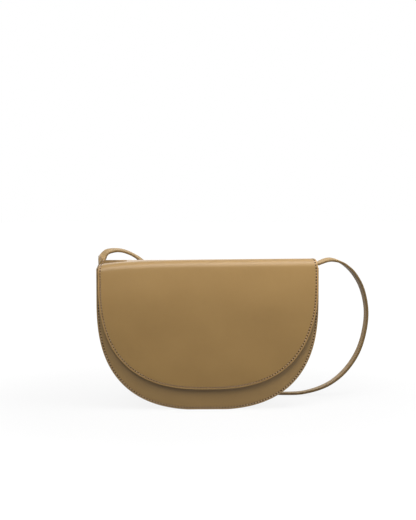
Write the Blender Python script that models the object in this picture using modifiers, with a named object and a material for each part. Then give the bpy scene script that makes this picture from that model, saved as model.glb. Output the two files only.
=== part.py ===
"""Half moon shoulder bag in leather: a rounded body, a flap that folds over it, and one long flat strap.

The bag stands on its base. Its front faces -Y, +Z is up, and the origin is under the middle of the bag.
"""

import math

import bmesh
import bpy
from mathutils import Matrix, Vector

# Driving dimensions, in metres
BAG_WIDTH = 0.240
BAG_DEPTH = 0.060
BAG_HEIGHT = 0.163
BODY_TOP_BELOW_FLAP = 0.0095
BODY_STRAIGHT_SIDE = 0.0325
BODY_CURVE_POWER = 2.61
BASE_FLAT_HALF_WIDTH = 0.022
FLAP_SIDE_INSET = 0.0019
FLAP_BOTTOM = 0.0223
FLAP_STRAIGHT_SIDE = 0.0218
FLAP_CURVE_POWER = 2.58
FRONT_ROLL_RADIUS = 0.009
REAR_ROLL_RADIUS = 0.007
REAR_FOLD_BELOW_FRONT = 0.005

# Leathers, boards and linings
CLEARANCE = 0.0003
PANEL_THICKNESS = 0.0014
GUSSET_THICKNESS = 0.0012
FLANGE_WIDTH = 0.0055
GUSSET_BEND_RADIUS = 0.0016
BOARD_THICKNESS = 0.0012
LINING_THICKNESS = 0.0008
FACING_THICKNESS = 0.0010
FACING_HEIGHT = 0.028
FLAP_LEATHER = 0.0013
FLAP_LINING = 0.0013
EDGE_BEVEL = 0.0003

# Flap details
FLAP_TOP_SIDE_INSET = 0.005
FLAP_NARROWS_FROM = -0.0265
FLAP_NARROWS_TO = -0.014
REAR_STRIP_HEIGHT = 0.014
REAR_STRIP_CORNER = 0.006
FOLD_GAP = 0.001
LINING_FOLD_GAP = 0.0016
FLAP_BOARD_THICKNESS = 0.0004
FLAP_BOARD_BORDER = 0.009
FLAP_BOARD_BELOW_ROLL = 0.012

# Magnetic snap
SNAP_HEIGHT = 0.050
SNAP_RADIUS = 0.009
SNAP_SOCKET_THICKNESS = 0.0020
SNAP_STUD_THICKNESS = 0.0010
SNAP_BORE_RADIUS = 0.0046
SNAP_BORE_DEPTH = 0.0016
SNAP_BOSS_RADIUS = 0.0033
SNAP_BOSS_TIP_RADIUS = 0.0026
SNAP_BOSS_LENGTH = 0.0013
SNAP_EDGE = 0.0004
SNAP_POST_RADIUS = 0.0020
WASHER_RADIUS = 0.0075
FRONT_WASHER_THICKNESS = 0.0006
FLAP_WASHER_THICKNESS = 0.0004

# Strap
STRAP_WIDTH = 0.010
STRAP_THICKNESS = 0.0026
STRAP_TAB_LENGTH = 0.040
STRAP_BUMP_MARGIN = 0.0015
STRAP_BUMP_SLOPE = 0.006

# Inside of the bag
BASE_BOARD_END_INSET = 0.040
BASE_BOARD_THICKNESS = 0.0008
POCKET_WIDTH = 0.110
POCKET_HEIGHT = 0.064
POCKET_BELOW_FACING = 0.017
POCKET_CORNER = 0.012
POCKET_THICKNESS = 0.0009

# How finely curves are drawn
CURVE_STEPS = 26
ROLL_STEPS = 8
BEND_STEPS = 3
CORNER_STEPS = 6
ROUND_STEPS = 40
STRAP_SPACING = 0.036
STRAP_TURN_STEP = 0.30
WELD = 0.00001
OVERRUN = 0.010

# Colours as red, green and blue, linear
LEATHER_TAN = (0.318, 0.210, 0.090)
LEATHER_TAN_STRAP = (0.340, 0.235, 0.115)
SUEDE_SAND = (0.330, 0.245, 0.150)
BOARD_GREY = (0.300, 0.270, 0.230)
METAL_GOLD = (0.780, 0.600, 0.320)
METAL_STEEL = (0.550, 0.550, 0.560)

# Planes and heights that follow from the sizes above
HALF_DEPTH = BAG_DEPTH / 2
BODY_HALF_WIDTH = BAG_WIDTH / 2
FLAP_HALF_WIDTH = BODY_HALF_WIDTH - FLAP_SIDE_INSET
FLAP_TOP_HALF_WIDTH = BODY_HALF_WIDTH - FLAP_TOP_SIDE_INSET
BASE_BOARD_HALF_WIDTH = BODY_HALF_WIDTH - BASE_BOARD_END_INSET
FLAP_TOTAL = FLAP_LEATHER + CLEARANCE + FLAP_LINING
SNAP_STACK = SNAP_SOCKET_THICKNESS + SNAP_STUD_THICKNESS + 2 * CLEARANCE
FRONT_FACE = -HALF_DEPTH + FLAP_TOTAL + SNAP_STACK
BACK_FACE = HALF_DEPTH - FLAP_LEATHER - CLEARANCE
BODY_MIDDLE = (FRONT_FACE + BACK_FACE) / 2
BODY_HALF_DEPTH = (BACK_FACE - FRONT_FACE) / 2
BOARD_PLANE = PANEL_THICKNESS + CLEARANCE
LINING_PLANE = BOARD_PLANE + max(BOARD_THICKNESS, GUSSET_THICKNESS) + CLEARANCE
SIDE_LINING_PLANE = LINING_PLANE + max(LINING_THICKNESS, FACING_THICKNESS) + CLEARANCE
BODY_TOP = BAG_HEIGHT - BODY_TOP_BELOW_FLAP
REAR_FOLD_TOP = BAG_HEIGHT - REAR_FOLD_BELOW_FRONT
FRONT_ROLL_CENTRE = Vector((-HALF_DEPTH + FRONT_ROLL_RADIUS, BAG_HEIGHT - FRONT_ROLL_RADIUS))
REAR_ROLL_CENTRE = Vector((HALF_DEPTH - REAR_ROLL_RADIUS, REAR_FOLD_TOP - REAR_ROLL_RADIUS))
BACK_PANEL_TOP = REAR_ROLL_CENTRE.y
FLAP_BOARD_TOP = FRONT_ROLL_CENTRE.y - FLAP_BOARD_BELOW_ROLL

# The strap's way from the left gusset, behind the bag and to the right gusset: the middle of its
# thickness (x, y, z) and the direction of its width, by hand, in millimetres and as a plain vector
MILLIMETRE = 0.001
STRAP_ROUTE = [
    ((-117.1, 2.35, 153.8), (0.0, -1.0, 0.0)),
    ((-117.1, 2.4, 155.2), (0.0, -1.0, 0.02)),
    ((-117.3, 4.2, 158.0), (0.0, -0.85, 0.5)),
    ((-117.5, 8.6, 159.6), (0.0, -0.4, 0.92)),
    ((-117.6, 15.0, 159.7), (0.0, -0.05, 1.0)),
    ((-117.6, 22.0, 159.4), (0.0, 0.0, 1.0)),
    ((-117.7, 29.0, 158.9), (0.0, 0.0, 1.0)),
    ((-117.6, 35.0, 159.4), (-0.05, 0.1, 1.0)),
    ((-114.8, 41.0, 164.2), (-0.3, 0.7, 0.62)),
    ((-110.5, 43.5, 166.8), (-0.25, 0.9, 0.38)),
    ((-106.0, 45.0, 168.1), (-0.15, 0.95, 0.3)),
    ((-100.4, 46.5, 168.6), (-0.05, 0.98, 0.2)),
    ((-94.8, 47.0, 168.2), (0.0, 1.0, 0.15)),
    ((-88.0, 46.5, 166.3), (0.05, 1.0, 0.1)),
    ((-81.1, 45.5, 163.2), (0.1, 1.0, 0.05)),
    ((-74.3, 44.0, 158.9), (0.2, 1.0, 0.05)),
    ((-69.8, 42.0, 154.2), (0.35, 0.9, 0.1)),
    ((-66.5, 38.5, 144.0), (0.7, 0.6, 0.1)),
    ((-66.0, 35.5, 127.0), (1.0, 0.2, 0.1)),
    ((-67.0, 34.0, 102.0), (1.0, 0.0, 0.0)),
    ((-69.0, 35.0, 76.0), (1.0, 0.0, 0.0)),
    ((-70.5, 39.0, 50.0), (1.0, 0.0, -0.05)),
    ((-72.6, 47.5, 28.0), (0.9, 0.1, -0.3)),
    ((-75.0, 62.5, 14.4), (0.75, 0.3, -0.6)),
    ((-77.0, 83.0, 7.8), (0.4, 0.1, -0.9)),
    ((-77.5, 108.0, 5.6), (0.0, 0.0, -1.0)),
    ((-72.0, 132.0, 5.3), (0.0, 0.0, -1.0)),
    ((-54.0, 150.0, 5.3), (0.0, 0.0, -1.0)),
    ((-22.0, 159.0, 5.3), (0.0, 0.0, -1.0)),
    ((12.0, 160.0, 5.3), (0.0, 0.0, -1.0)),
    ((50.0, 157.0, 5.3), (0.0, 0.0, -1.0)),
    ((75.0, 145.0, 5.3), (0.0, 0.0, -1.0)),
    ((79.0, 124.0, 5.3), (0.0, 0.0, -1.0)),
    ((58.0, 111.5, 5.3), (0.0, 0.0, -1.0)),
    ((18.0, 111.0, 5.3), (0.0, 0.0, -1.0)),
    ((-22.0, 112.0, 5.3), (0.0, 0.0, -1.0)),
    ((-49.0, 104.0, 5.3), (0.0, 0.0, -1.0)),
    ((-54.0, 85.0, 5.3), (0.0, 0.0, -1.0)),
    ((-36.0, 70.0, 5.3), (0.0, 0.0, -1.0)),
    ((-2.0, 65.5, 5.3), (0.0, 0.15, -1.0)),
    ((32.0, 66.0, 4.9), (0.0, 0.6, -0.8)),
    ((60.0, 67.0, 3.4), (0.0, 1.0, -0.4)),
    ((88.0, 66.5, 2.2), (0.0, 1.0, 0.0)),
    ((114.0, 65.5, 3.6), (0.0, 1.0, 0.03)),
    ((140.0, 64.0, 12.6), (-0.08, 1.0, 0.1)),
    ((159.0, 62.0, 28.0), (-0.15, 0.95, 0.12)),
    ((173.4, 59.0, 50.0), (-0.2, 0.95, 0.1)),
    ((180.6, 55.0, 75.0), (-0.2, 0.95, 0.05)),
    ((181.8, 49.0, 100.0), (-0.2, 0.95, 0.0)),
    ((175.0, 39.0, 126.5), (-0.2, 0.95, -0.1)),
    ((163.6, 28.2, 144.6), (-0.2, 0.97, -0.1)),
    ((153.3, 20.3, 153.8), (-0.15, 1.0, -0.05)),
    ((148.6, 17.2, 156.6), (-0.1, 1.0, 0.0)),
    ((143.7, 14.0, 158.7), (-0.05, 1.0, 0.06)),
    ((136.5, 9.5, 159.8), (0.0, 1.0, 0.16)),
    ((130.6, 6.5, 158.7), (0.0, 1.0, 0.18)),
    ((125.4, 4.6, 157.1), (0.0, 1.0, 0.15)),
    ((121.4, 3.4, 156.3), (0.0, 1.0, 0.06)),
    ((118.7, 2.7, 155.9), (0.0, 1.0, 0.0)),
    ((117.3, 2.4, 155.0), (0.0, 1.0, 0.0)),
    ((117.1, 2.35, 153.8), (0.0, 1.0, 0.0)),
]


def clear_scene():
    for old in list(bpy.data.objects):
        bpy.data.objects.remove(old, do_unlink=True)


def new_collection(name):
    collection = bpy.data.collections.new(name)
    bpy.context.scene.collection.children.link(collection)
    return collection


def material(name, colour, roughness, metallic=0.0):
    made = bpy.data.materials.new(name)
    made.use_nodes = True
    shader = made.node_tree.nodes["Principled BSDF"]
    shader.inputs["Base Color"].default_value = (*colour, 1.0)
    shader.inputs["Roughness"].default_value = roughness
    shader.inputs["Metallic"].default_value = metallic
    return made


def add_object(name, mesh, finish):
    """A node of the bag, with its own copy of its finish."""
    made = bpy.data.objects.new(name, mesh)
    bag.objects.link(made)
    mesh.materials.clear()
    mesh.materials.append(material(name + "_finish", *finish))
    return made


def as_cutter(cutter):
    cutter.hide_render = True
    cutter.display_type = "WIRE"
    return cutter


def cut(piece, cutter, operation):
    boolean = piece.modifiers.new(operation.lower(), "BOOLEAN")
    boolean.operation = operation
    boolean.solver = "EXACT"
    boolean.object = cutter


def soften_edges(piece, width):
    bevel = piece.modifiers.new("edge", "BEVEL")
    bevel.width = width
    bevel.segments = 1
    bevel.limit_method = "ANGLE"
    bevel.angle_limit = math.radians(60)


# Ways that a flat outline can stand: across the bag, along it, or level
FACING_FRONT = Matrix(((1, 0, 0), (0, 0, -1), (0, 1, 0))).to_4x4()
FACING_SIDE = Matrix(((0, 0, 1), (1, 0, 0), (0, 1, 0))).to_4x4()
FACING_UP = Matrix.Identity(4)


def slab_mesh(name, outlines, thickness, turn, place):
    """A flat outline, with any holes as further outlines, grown to both sides by half a thickness."""
    outline_curve = bpy.data.curves.new(name, "CURVE")
    outline_curve.dimensions = "2D"
    outline_curve.fill_mode = "BOTH"
    outline_curve.extrude = thickness / 2
    for outline in outlines:
        spline = outline_curve.splines.new("POLY")
        spline.points.add(len(outline) - 1)
        for point, (across, up) in zip(spline.points, outline):
            point.co = (across, up, 0, 1)
        spline.use_cyclic_u = True
    drawn = bpy.data.objects.new(name, outline_curve)
    bpy.context.scene.collection.objects.link(drawn)
    bpy.context.view_layer.update()
    evaluated = drawn.evaluated_get(bpy.context.evaluated_depsgraph_get())
    mesh = bpy.data.meshes.new_from_object(evaluated)
    bpy.data.objects.remove(drawn, do_unlink=True)
    bpy.data.curves.remove(outline_curve)
    mesh.name = name
    solid = bmesh.new()
    solid.from_mesh(mesh)
    bmesh.ops.remove_doubles(solid, verts=solid.verts, dist=WELD)
    solid.transform(Matrix.Translation(place) @ turn)
    bmesh.ops.recalc_face_normals(solid, faces=solid.faces)
    solid.to_mesh(mesh)
    solid.free()
    return mesh


def slab(name, outlines, thickness, turn, place, finish):
    return add_object(name, slab_mesh(name, outlines, thickness, turn, place), finish)


def slab_cutter(name, outlines, thickness, turn, place):
    cutter = bpy.data.objects.new(name, slab_mesh(name, outlines, thickness, turn, place))
    cutters.objects.link(cutter)
    return as_cutter(cutter)


def moon_outline(half_width, curve_height, power, rise, top, floor):
    """A half moon: straight sides down from the top, then a rounded U that is cut off level at the
    floor. The U's sides start at the height called rise."""

    def width_at(height):
        down = max(rise - height, 0) / curve_height
        return half_width * max(1 - down**power, 0) ** (1 / power)

    side = [(width_at(top), top)]
    for step in range(CURVE_STEPS):
        turn = math.pi / 2 * step / CURVE_STEPS
        height = rise - curve_height * math.sin(turn) ** (2 / power)
        if floor + WELD < height < top - WELD:
            side.append((half_width * math.cos(turn) ** (2 / power), height))
    side.append((width_at(floor), floor))
    return [*side, *[(-across, height) for across, height in reversed(side) if across > WELD]]


# How far the body's U would reach below the base if the base weren't flat, as a share of its height
BASE_SINK_SHARE = 1 - (1 - (BASE_FLAT_HALF_WIDTH / BODY_HALF_WIDTH) ** BODY_CURVE_POWER) ** (
    1 / BODY_CURVE_POWER
)
BODY_RISE = BODY_TOP - BODY_STRAIGHT_SIDE
BODY_CURVE_HEIGHT = BODY_RISE / (1 - BASE_SINK_SHARE)
FLAP_RISE = BAG_HEIGHT - FLAP_STRAIGHT_SIDE
FLAP_CURVE_HEIGHT = FLAP_RISE - FLAP_BOTTOM


def body_outline(inset, top, floor=0):
    """The body's half moon, drawn in by an inset, between two heights."""
    return moon_outline(
        BODY_HALF_WIDTH - inset,
        BODY_CURVE_HEIGHT - inset,
        BODY_CURVE_POWER,
        BODY_RISE,
        top,
        max(floor, inset),
    )


def flap_outline(inset, top):
    return moon_outline(
        FLAP_HALF_WIDTH - inset,
        FLAP_CURVE_HEIGHT - inset,
        FLAP_CURVE_POWER,
        FLAP_RISE,
        top,
        FLAP_BOTTOM + inset,
    )


def circle_outline(radius, height):
    """A round outline about the middle of the bag's width, at a height."""
    turns = [2 * math.pi * step / ROUND_STEPS for step in range(ROUND_STEPS)]
    return [(radius * math.cos(turn), height + radius * math.sin(turn)) for turn in turns]


def pocket_outline(width, bottom, top, corner):
    """An upright rectangle with round lower corners."""
    points = [(width / 2, top)]
    for side in (1, -1):
        for step in range(CORNER_STEPS + 1):
            turn = math.pi / 2 * step / CORNER_STEPS
            if side < 0:
                turn = math.pi / 2 - turn
            across = width / 2 - corner + corner * math.cos(turn)
            points.append((side * across, bottom + corner - corner * math.sin(turn)))
    points.append((-width / 2, top))
    return points


def side_path(longest):
    """The body's outline as points with the direction in to the bag at each, left top to right top, and
    with no two neighbours further apart than stated."""
    outline = [Vector(point) for point in reversed(body_outline(0, BODY_TOP))]
    fine = []
    for start, end in zip(outline, outline[1:]):
        steps = math.ceil((end - start).length / longest)
        fine += [start.lerp(end, step / steps) for step in range(steps)]
    fine.append(outline[-1])
    path = []
    for index, point in enumerate(fine):
        before = fine[max(index - 1, 0)]
        after = fine[min(index + 1, len(fine) - 1)]
        along = (after - before).normalized()
        path.append((point, Vector((-along.y, along.x))))
    return path


def wrapped_sheet(name, path, section, thickness, finish):
    """A sheet that runs along a path round the bag. The section gives, for a point of the path, the
    list of (distance in from the outline, place across the bag's depth) of the middle of the sheet."""
    sections = [section(point) for point, _ in path]
    sheet = bmesh.new()
    across = len(sections[0])
    bmesh.ops.create_grid(sheet, x_segments=len(path) - 1, y_segments=across - 1, size=1)
    sheet.verts.ensure_lookup_table()
    for index, vertex in enumerate(sheet.verts):
        row, column = divmod(index, len(path))
        point, inward = path[column]
        distance, depth = sections[column][row]
        at = point + inward * distance
        vertex.co = (at.x, depth, at.y)
    mesh = bpy.data.meshes.new(name)
    sheet.to_mesh(mesh)
    sheet.free()
    made = add_object(name, mesh, finish)
    wall = made.modifiers.new("wall", "SOLIDIFY")
    wall.thickness = thickness
    wall.offset = 0
    wall.use_even_offset = True
    return made


def spaced(start, end, steps):
    return [start + (end - start) * step / steps for step in range(steps + 1)]


LEATHER = (LEATHER_TAN, 0.38)
STRAP_LEATHER = (LEATHER_TAN_STRAP, 0.42)
SUEDE = (SUEDE_SAND, 0.85)
BOARD = (BOARD_GREY, 0.9)
GOLD = (METAL_GOLD, 0.28, 1.0)
STEEL = (METAL_STEEL, 0.35, 1.0)


def panel(name, face, inward, top, holes=()):
    """The front or back leather: its outer face in the plane given."""
    middle = Vector((0, face + inward * PANEL_THICKNESS / 2, 0))
    made = slab(name, [body_outline(0, top), *holes], PANEL_THICKNESS, FACING_FRONT, middle, LEATHER)
    soften_edges(made, EDGE_BEVEL)
    return made


def inner_layer(name, face, inward, plane, thickness, outlines, finish):
    """A flat layer behind a panel, its near side at a distance in from the panel's outer face."""
    middle = Vector((0, face + inward * (plane + thickness / 2), 0))
    return slab(name, outlines, thickness, FACING_FRONT, middle, finish)


def make_body():
    """The two half moon panels, the gusset that joins them and the boards between leather and lining."""
    post_hole = circle_outline(SNAP_POST_RADIUS + CLEARANCE, SNAP_HEIGHT)
    washer_hole = circle_outline(WASHER_RADIUS + 2 * CLEARANCE, SNAP_HEIGHT)
    board_inset = FLANGE_WIDTH + 2 * CLEARANCE
    panel("front_panel", FRONT_FACE, 1, BODY_TOP, [post_hole])
    panel("back_panel", BACK_FACE, -1, BACK_PANEL_TOP)
    front_outline = body_outline(board_inset, BODY_TOP)
    back_outline = body_outline(board_inset, BACK_PANEL_TOP)
    inner_layer(
        "front_stiffener", FRONT_FACE, 1, BOARD_PLANE, BOARD_THICKNESS, [front_outline, washer_hole], BOARD
    )
    inner_layer("back_stiffener", BACK_FACE, -1, BOARD_PLANE, BOARD_THICKNESS, [back_outline], BOARD)

    path = side_path(BODY_TOP)
    wall = GUSSET_THICKNESS / 2
    flange = BODY_HALF_DEPTH - BOARD_PLANE - wall
    bend = GUSSET_BEND_RADIUS

    def gusset_section(_):
        half = [(FLANGE_WIDTH, flange), (wall + bend + FLANGE_WIDTH / 4, flange)]
        for step in range(BEND_STEPS + 1):
            turn = math.pi / 2 * step / BEND_STEPS
            half.append((wall + bend - bend * math.sin(turn), flange - bend + bend * math.cos(turn)))
        front = [(distance, BODY_MIDDLE - depth) for distance, depth in half]
        back = [(distance, BODY_MIDDLE + depth) for distance, depth in reversed(half)]
        return [*front, (wall, BODY_MIDDLE), *back]

    wrapped_sheet("gusset", path, gusset_section, GUSSET_THICKNESS, LEATHER)

    board_path = [step for step in path if abs(step[0].x) <= BASE_BOARD_HALF_WIDTH and step[0].y < BODY_RISE]
    board_middle = GUSSET_THICKNESS + CLEARANCE + BASE_BOARD_THICKNESS / 2
    board_reach = BODY_HALF_DEPTH - SIDE_LINING_PLANE - CLEARANCE

    def board_section(_):
        return [(board_middle, BODY_MIDDLE + depth) for depth in spaced(-board_reach, board_reach, 1)]

    wrapped_sheet("base_board", board_path, board_section, BASE_BOARD_THICKNESS, BOARD)


def make_lining():
    """Lining, leather facings round the mouth and the slip pocket."""
    inset = GUSSET_THICKNESS + 2 * CLEARANCE
    front_seam = BODY_TOP - FACING_HEIGHT
    back_seam = BACK_PANEL_TOP - FACING_HEIGHT
    for side, face, inward, top, seam in (
        ("front", FRONT_FACE, 1, BODY_TOP, front_seam),
        ("back", BACK_FACE, -1, BACK_PANEL_TOP, back_seam),
    ):
        lining = body_outline(inset, seam - CLEARANCE)
        inner_layer("lining_" + side, face, inward, LINING_PLANE, LINING_THICKNESS, [lining], SUEDE)
        strip = body_outline(inset, top, seam)
        inner_layer(side + "_facing", face, inward, LINING_PLANE, FACING_THICKNESS, [strip], LEATHER)

    pocket_top = back_seam - POCKET_BELOW_FACING
    pocket = pocket_outline(POCKET_WIDTH, pocket_top - POCKET_HEIGHT, pocket_top, POCKET_CORNER)
    pocket_plane = LINING_PLANE + LINING_THICKNESS + CLEARANCE
    inner_layer("slip_pocket", BACK_FACE, -1, pocket_plane, POCKET_THICKNESS, [pocket], LEATHER)

    flat = GUSSET_THICKNESS + BASE_BOARD_THICKNESS + 2 * CLEARANCE + LINING_THICKNESS / 2
    raised = GUSSET_THICKNESS + STRAP_THICKNESS + 2 * CLEARANCE + LINING_THICKNESS / 2
    reach = BODY_HALF_DEPTH - SIDE_LINING_PLANE
    plateau = STRAP_WIDTH / 2 + STRAP_BUMP_MARGIN
    foot = min(plateau + STRAP_BUMP_SLOPE, reach - CLEARANCE)
    tab_bottom = BODY_TOP - STRAP_TAB_LENGTH

    def lining_section(point):
        over_tab = min(max((point.y - tab_bottom) / STRAP_BUMP_SLOPE + 2, 0), 1)
        bumped = flat + (raised - flat) * over_tab
        half = [(flat, -reach), (flat, -foot), (bumped, -plateau)]
        mirrored = [(distance, -depth) for distance, depth in reversed(half)]
        return [(distance, BODY_MIDDLE + depth) for distance, depth in (*half, *mirrored)]

    wrapped_sheet("lining_gusset", side_path(STRAP_BUMP_SLOPE), lining_section, LINING_THICKNESS, SUEDE)


ROLL_SPAN = FRONT_ROLL_CENTRE - REAR_ROLL_CENTRE
TANGENT_TURN = math.atan2(ROLL_SPAN.y, ROLL_SPAN.x) - math.acos(
    (REAR_ROLL_RADIUS - FRONT_ROLL_RADIUS) / ROLL_SPAN.length
)
REAR_FOLD_TURN = math.radians(45)
FRONT_FOLD_TURN = math.radians(135)


def on_roll(centre, radius, turn):
    """A point of a roll's section: turn 0 faces the back, a quarter turn up, a half turn the front."""
    return centre + radius * Vector((math.cos(turn), math.sin(turn)))


def roll(centre, radius, start, end):
    steps = max(2, math.ceil(ROLL_STEPS * abs(end - start) / (math.pi / 2)))
    return [on_roll(centre, radius, start + (end - start) * step / steps) for step in range(steps + 1)]


REAR_FOLD_AXIS = on_roll(REAR_ROLL_CENTRE, REAR_ROLL_RADIUS - FLAP_LEATHER / 2, REAR_FOLD_TURN)
FRONT_FOLD_AXIS = on_roll(FRONT_ROLL_CENTRE, FRONT_ROLL_RADIUS - FLAP_LEATHER / 2, FRONT_FOLD_TURN)


def round_end(axis, turn):
    """The round edge of a leather that turns about a fold: half a circle from its inside to its outside."""
    half = FLAP_LEATHER / 2
    turns = [turn + math.pi + math.pi * step / CORNER_STEPS for step in range(CORNER_STEPS + 1)]
    return [axis + half * Vector((math.cos(at), math.sin(at))) for at in turns]


def flap_sheet(name, section, width, finish):
    """A sheet bent along the flap's side view, as wide as stated before it is trimmed."""
    return slab(name, [section], width, FACING_SIDE, Vector((0, 0, 0)), finish)


def narrowing_outline():
    """The flap seen from above: full width over the front roll, narrower where the strap passes."""
    narrow = FLAP_TOP_HALF_WIDTH
    side = [(FLAP_HALF_WIDTH, -HALF_DEPTH - OVERRUN), (FLAP_HALF_WIDTH, FLAP_NARROWS_FROM)]
    for step in range(1, CORNER_STEPS):
        share = step / CORNER_STEPS
        ease = share * share * (3 - 2 * share)
        along = FLAP_NARROWS_FROM + (FLAP_NARROWS_TO - FLAP_NARROWS_FROM) * share
        side.append((FLAP_HALF_WIDTH + (narrow - FLAP_HALF_WIDTH) * ease, along))
    side += [(narrow, FLAP_NARROWS_TO), (narrow, HALF_DEPTH + OVERRUN)]
    return [*side, *[(-across, along) for across, along in reversed(side)]]


def make_flap():
    """The flap's leather and lining, in the pieces that its two folds part: a strip sewn to the back
    panel, the top over the mouth, and the half moon that hangs over the front."""
    rear, front = REAR_ROLL_CENTRE, FRONT_ROLL_CENTRE
    wide = BAG_WIDTH + 2 * OVERRUN
    rear_gap = FOLD_GAP / (REAR_ROLL_RADIUS - FLAP_LEATHER / 2)
    front_gap = FOLD_GAP / (FRONT_ROLL_RADIUS - FLAP_LEATHER / 2)
    inner_rear = REAR_ROLL_RADIUS - FLAP_LEATHER
    inner_front = FRONT_ROLL_RADIUS - FLAP_LEATHER
    strip_foot = BACK_PANEL_TOP - REAR_STRIP_HEIGHT

    strip_section = [
        Vector((HALF_DEPTH, strip_foot - OVERRUN)),
        *roll(rear, REAR_ROLL_RADIUS, 0, REAR_FOLD_TURN - rear_gap),
        *roll(rear, inner_rear, REAR_FOLD_TURN - rear_gap, 0),
        Vector((HALF_DEPTH - FLAP_LEATHER, strip_foot - OVERRUN)),
    ]
    strip = flap_sheet("flap_rear_strip", strip_section, wide, LEATHER)
    strip_outline = pocket_outline(
        2 * FLAP_TOP_HALF_WIDTH, strip_foot, REAR_FOLD_TOP + OVERRUN, REAR_STRIP_CORNER
    )
    trim = slab_cutter("strip_trim", [strip_outline], BAG_DEPTH * 2, FACING_FRONT, Vector((0, HALF_DEPTH, 0)))
    cut(strip, trim, "INTERSECT")

    top_section = [
        *round_end(REAR_FOLD_AXIS, REAR_FOLD_TURN),
        *roll(rear, REAR_ROLL_RADIUS, REAR_FOLD_TURN, TANGENT_TURN)[1:],
        *roll(front, FRONT_ROLL_RADIUS, TANGENT_TURN, FRONT_FOLD_TURN - front_gap),
        *roll(front, inner_front, FRONT_FOLD_TURN - front_gap, TANGENT_TURN),
        *roll(rear, inner_rear, TANGENT_TURN, REAR_FOLD_TURN)[:-1],
    ]
    top = flap_sheet("flap_top", top_section, wide, LEATHER)
    level = Vector((0, 0, BAG_HEIGHT))
    narrowing = slab_cutter("top_trim", [narrowing_outline()], BAG_HEIGHT / 2, FACING_UP, level)
    cut(top, narrowing, "INTERSECT")

    front_section = [
        *round_end(FRONT_FOLD_AXIS, FRONT_FOLD_TURN),
        *roll(front, FRONT_ROLL_RADIUS, FRONT_FOLD_TURN, math.pi)[1:],
        Vector((-HALF_DEPTH, -OVERRUN)),
        Vector((-HALF_DEPTH + FLAP_LEATHER, -OVERRUN)),
        *roll(front, inner_front, math.pi, FRONT_FOLD_TURN)[:-1],
    ]
    front_leather = flap_sheet("flap_front", front_section, wide, LEATHER)
    moon = flap_outline(0, BAG_HEIGHT + OVERRUN)
    flap_trim = slab_cutter("flap_trim", [moon], BAG_DEPTH * 2, FACING_FRONT, Vector((0, -HALF_DEPTH, 0)))
    cut(front_leather, flap_trim, "INTERSECT")

    outer = FLAP_LEATHER + CLEARANCE
    inner = FLAP_TOTAL
    rear_start = REAR_FOLD_TURN + LINING_FOLD_GAP / (REAR_ROLL_RADIUS - inner)
    front_stop = FRONT_FOLD_TURN - LINING_FOLD_GAP / 2 / (FRONT_ROLL_RADIUS - inner)
    front_start = FRONT_FOLD_TURN + LINING_FOLD_GAP / 2 / (FRONT_ROLL_RADIUS - inner)
    top_lining_section = [
        *roll(rear, REAR_ROLL_RADIUS - outer, rear_start, TANGENT_TURN),
        *roll(front, FRONT_ROLL_RADIUS - outer, TANGENT_TURN, front_stop),
        *roll(front, FRONT_ROLL_RADIUS - inner, front_stop, TANGENT_TURN),
        *roll(rear, REAR_ROLL_RADIUS - inner, TANGENT_TURN, rear_start),
    ]
    top_lining = flap_sheet("flap_top_lining", top_lining_section, wide, SUEDE)
    cut(top_lining, narrowing, "INTERSECT")

    lining_section = [
        *roll(front, FRONT_ROLL_RADIUS - outer, front_start, math.pi),
        Vector((-HALF_DEPTH + outer, -OVERRUN)),
        Vector((-HALF_DEPTH + inner, -OVERRUN)),
        *roll(front, FRONT_ROLL_RADIUS - inner, math.pi, front_start),
    ]
    lining = flap_sheet("flap_front_lining", lining_section, wide, SUEDE)
    cut(lining, flap_trim, "INTERSECT")

    board_plane = -HALF_DEPTH + outer + CLEARANCE + FLAP_BOARD_THICKNESS / 2
    board_outline = flap_outline(FLAP_BOARD_BORDER, FLAP_BOARD_TOP)
    washer_hole = circle_outline(WASHER_RADIUS + 2 * CLEARANCE, SNAP_HEIGHT)
    place = Vector((0, board_plane, 0))
    slab("flap_stiffener", [board_outline, washer_hole], FLAP_BOARD_THICKNESS, FACING_FRONT, place, BOARD)

    recess_depth = FLAP_BOARD_THICKNESS + 2 * CLEARANCE
    recess_outline = flap_outline(FLAP_BOARD_BORDER - 2 * CLEARANCE, FLAP_BOARD_TOP + 2 * CLEARANCE)
    recess_place = Vector((0, -HALF_DEPTH + outer + recess_depth - OVERRUN / 2, 0))
    recess = slab_cutter("lining_recess", [recess_outline], OVERRUN, FACING_FRONT, recess_place)
    cut(lining, recess, "DIFFERENCE")
    post_place = Vector((0, -HALF_DEPTH + outer, 0))
    post_hole = circle_outline(SNAP_POST_RADIUS + CLEARANCE, SNAP_HEIGHT)
    cut(lining, slab_cutter("lining_hole", [post_hole], OVERRUN, FACING_FRONT, post_place), "DIFFERENCE")


def turned(name, profile, place, turn, finish):
    """A round part: its profile of (radius, place along its axis), from its top at the axis down its
    outer side and back to the axis, swept once round."""
    mesh = bpy.data.meshes.new(name)
    rim = bmesh.new()
    corners = [rim.verts.new((radius, 0, along)) for radius, along in profile]
    for first, second in zip(corners, corners[1:]):
        rim.edges.new((first, second))
    rim.to_mesh(mesh)
    rim.free()
    made = add_object(name, mesh, finish)
    made.matrix_world = Matrix.Translation(place) @ turn
    screw = made.modifiers.new("turned", "SCREW")
    screw.steps = ROUND_STEPS
    screw.render_steps = ROUND_STEPS
    screw.use_merge_vertices = True
    screw.merge_threshold = WELD
    screw.use_smooth_shade = False
    return made


ALONG_FRONT = Matrix.Rotation(math.radians(90), 4, "X")
ALONG_BACK = Matrix.Rotation(math.radians(-90), 4, "X")


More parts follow.
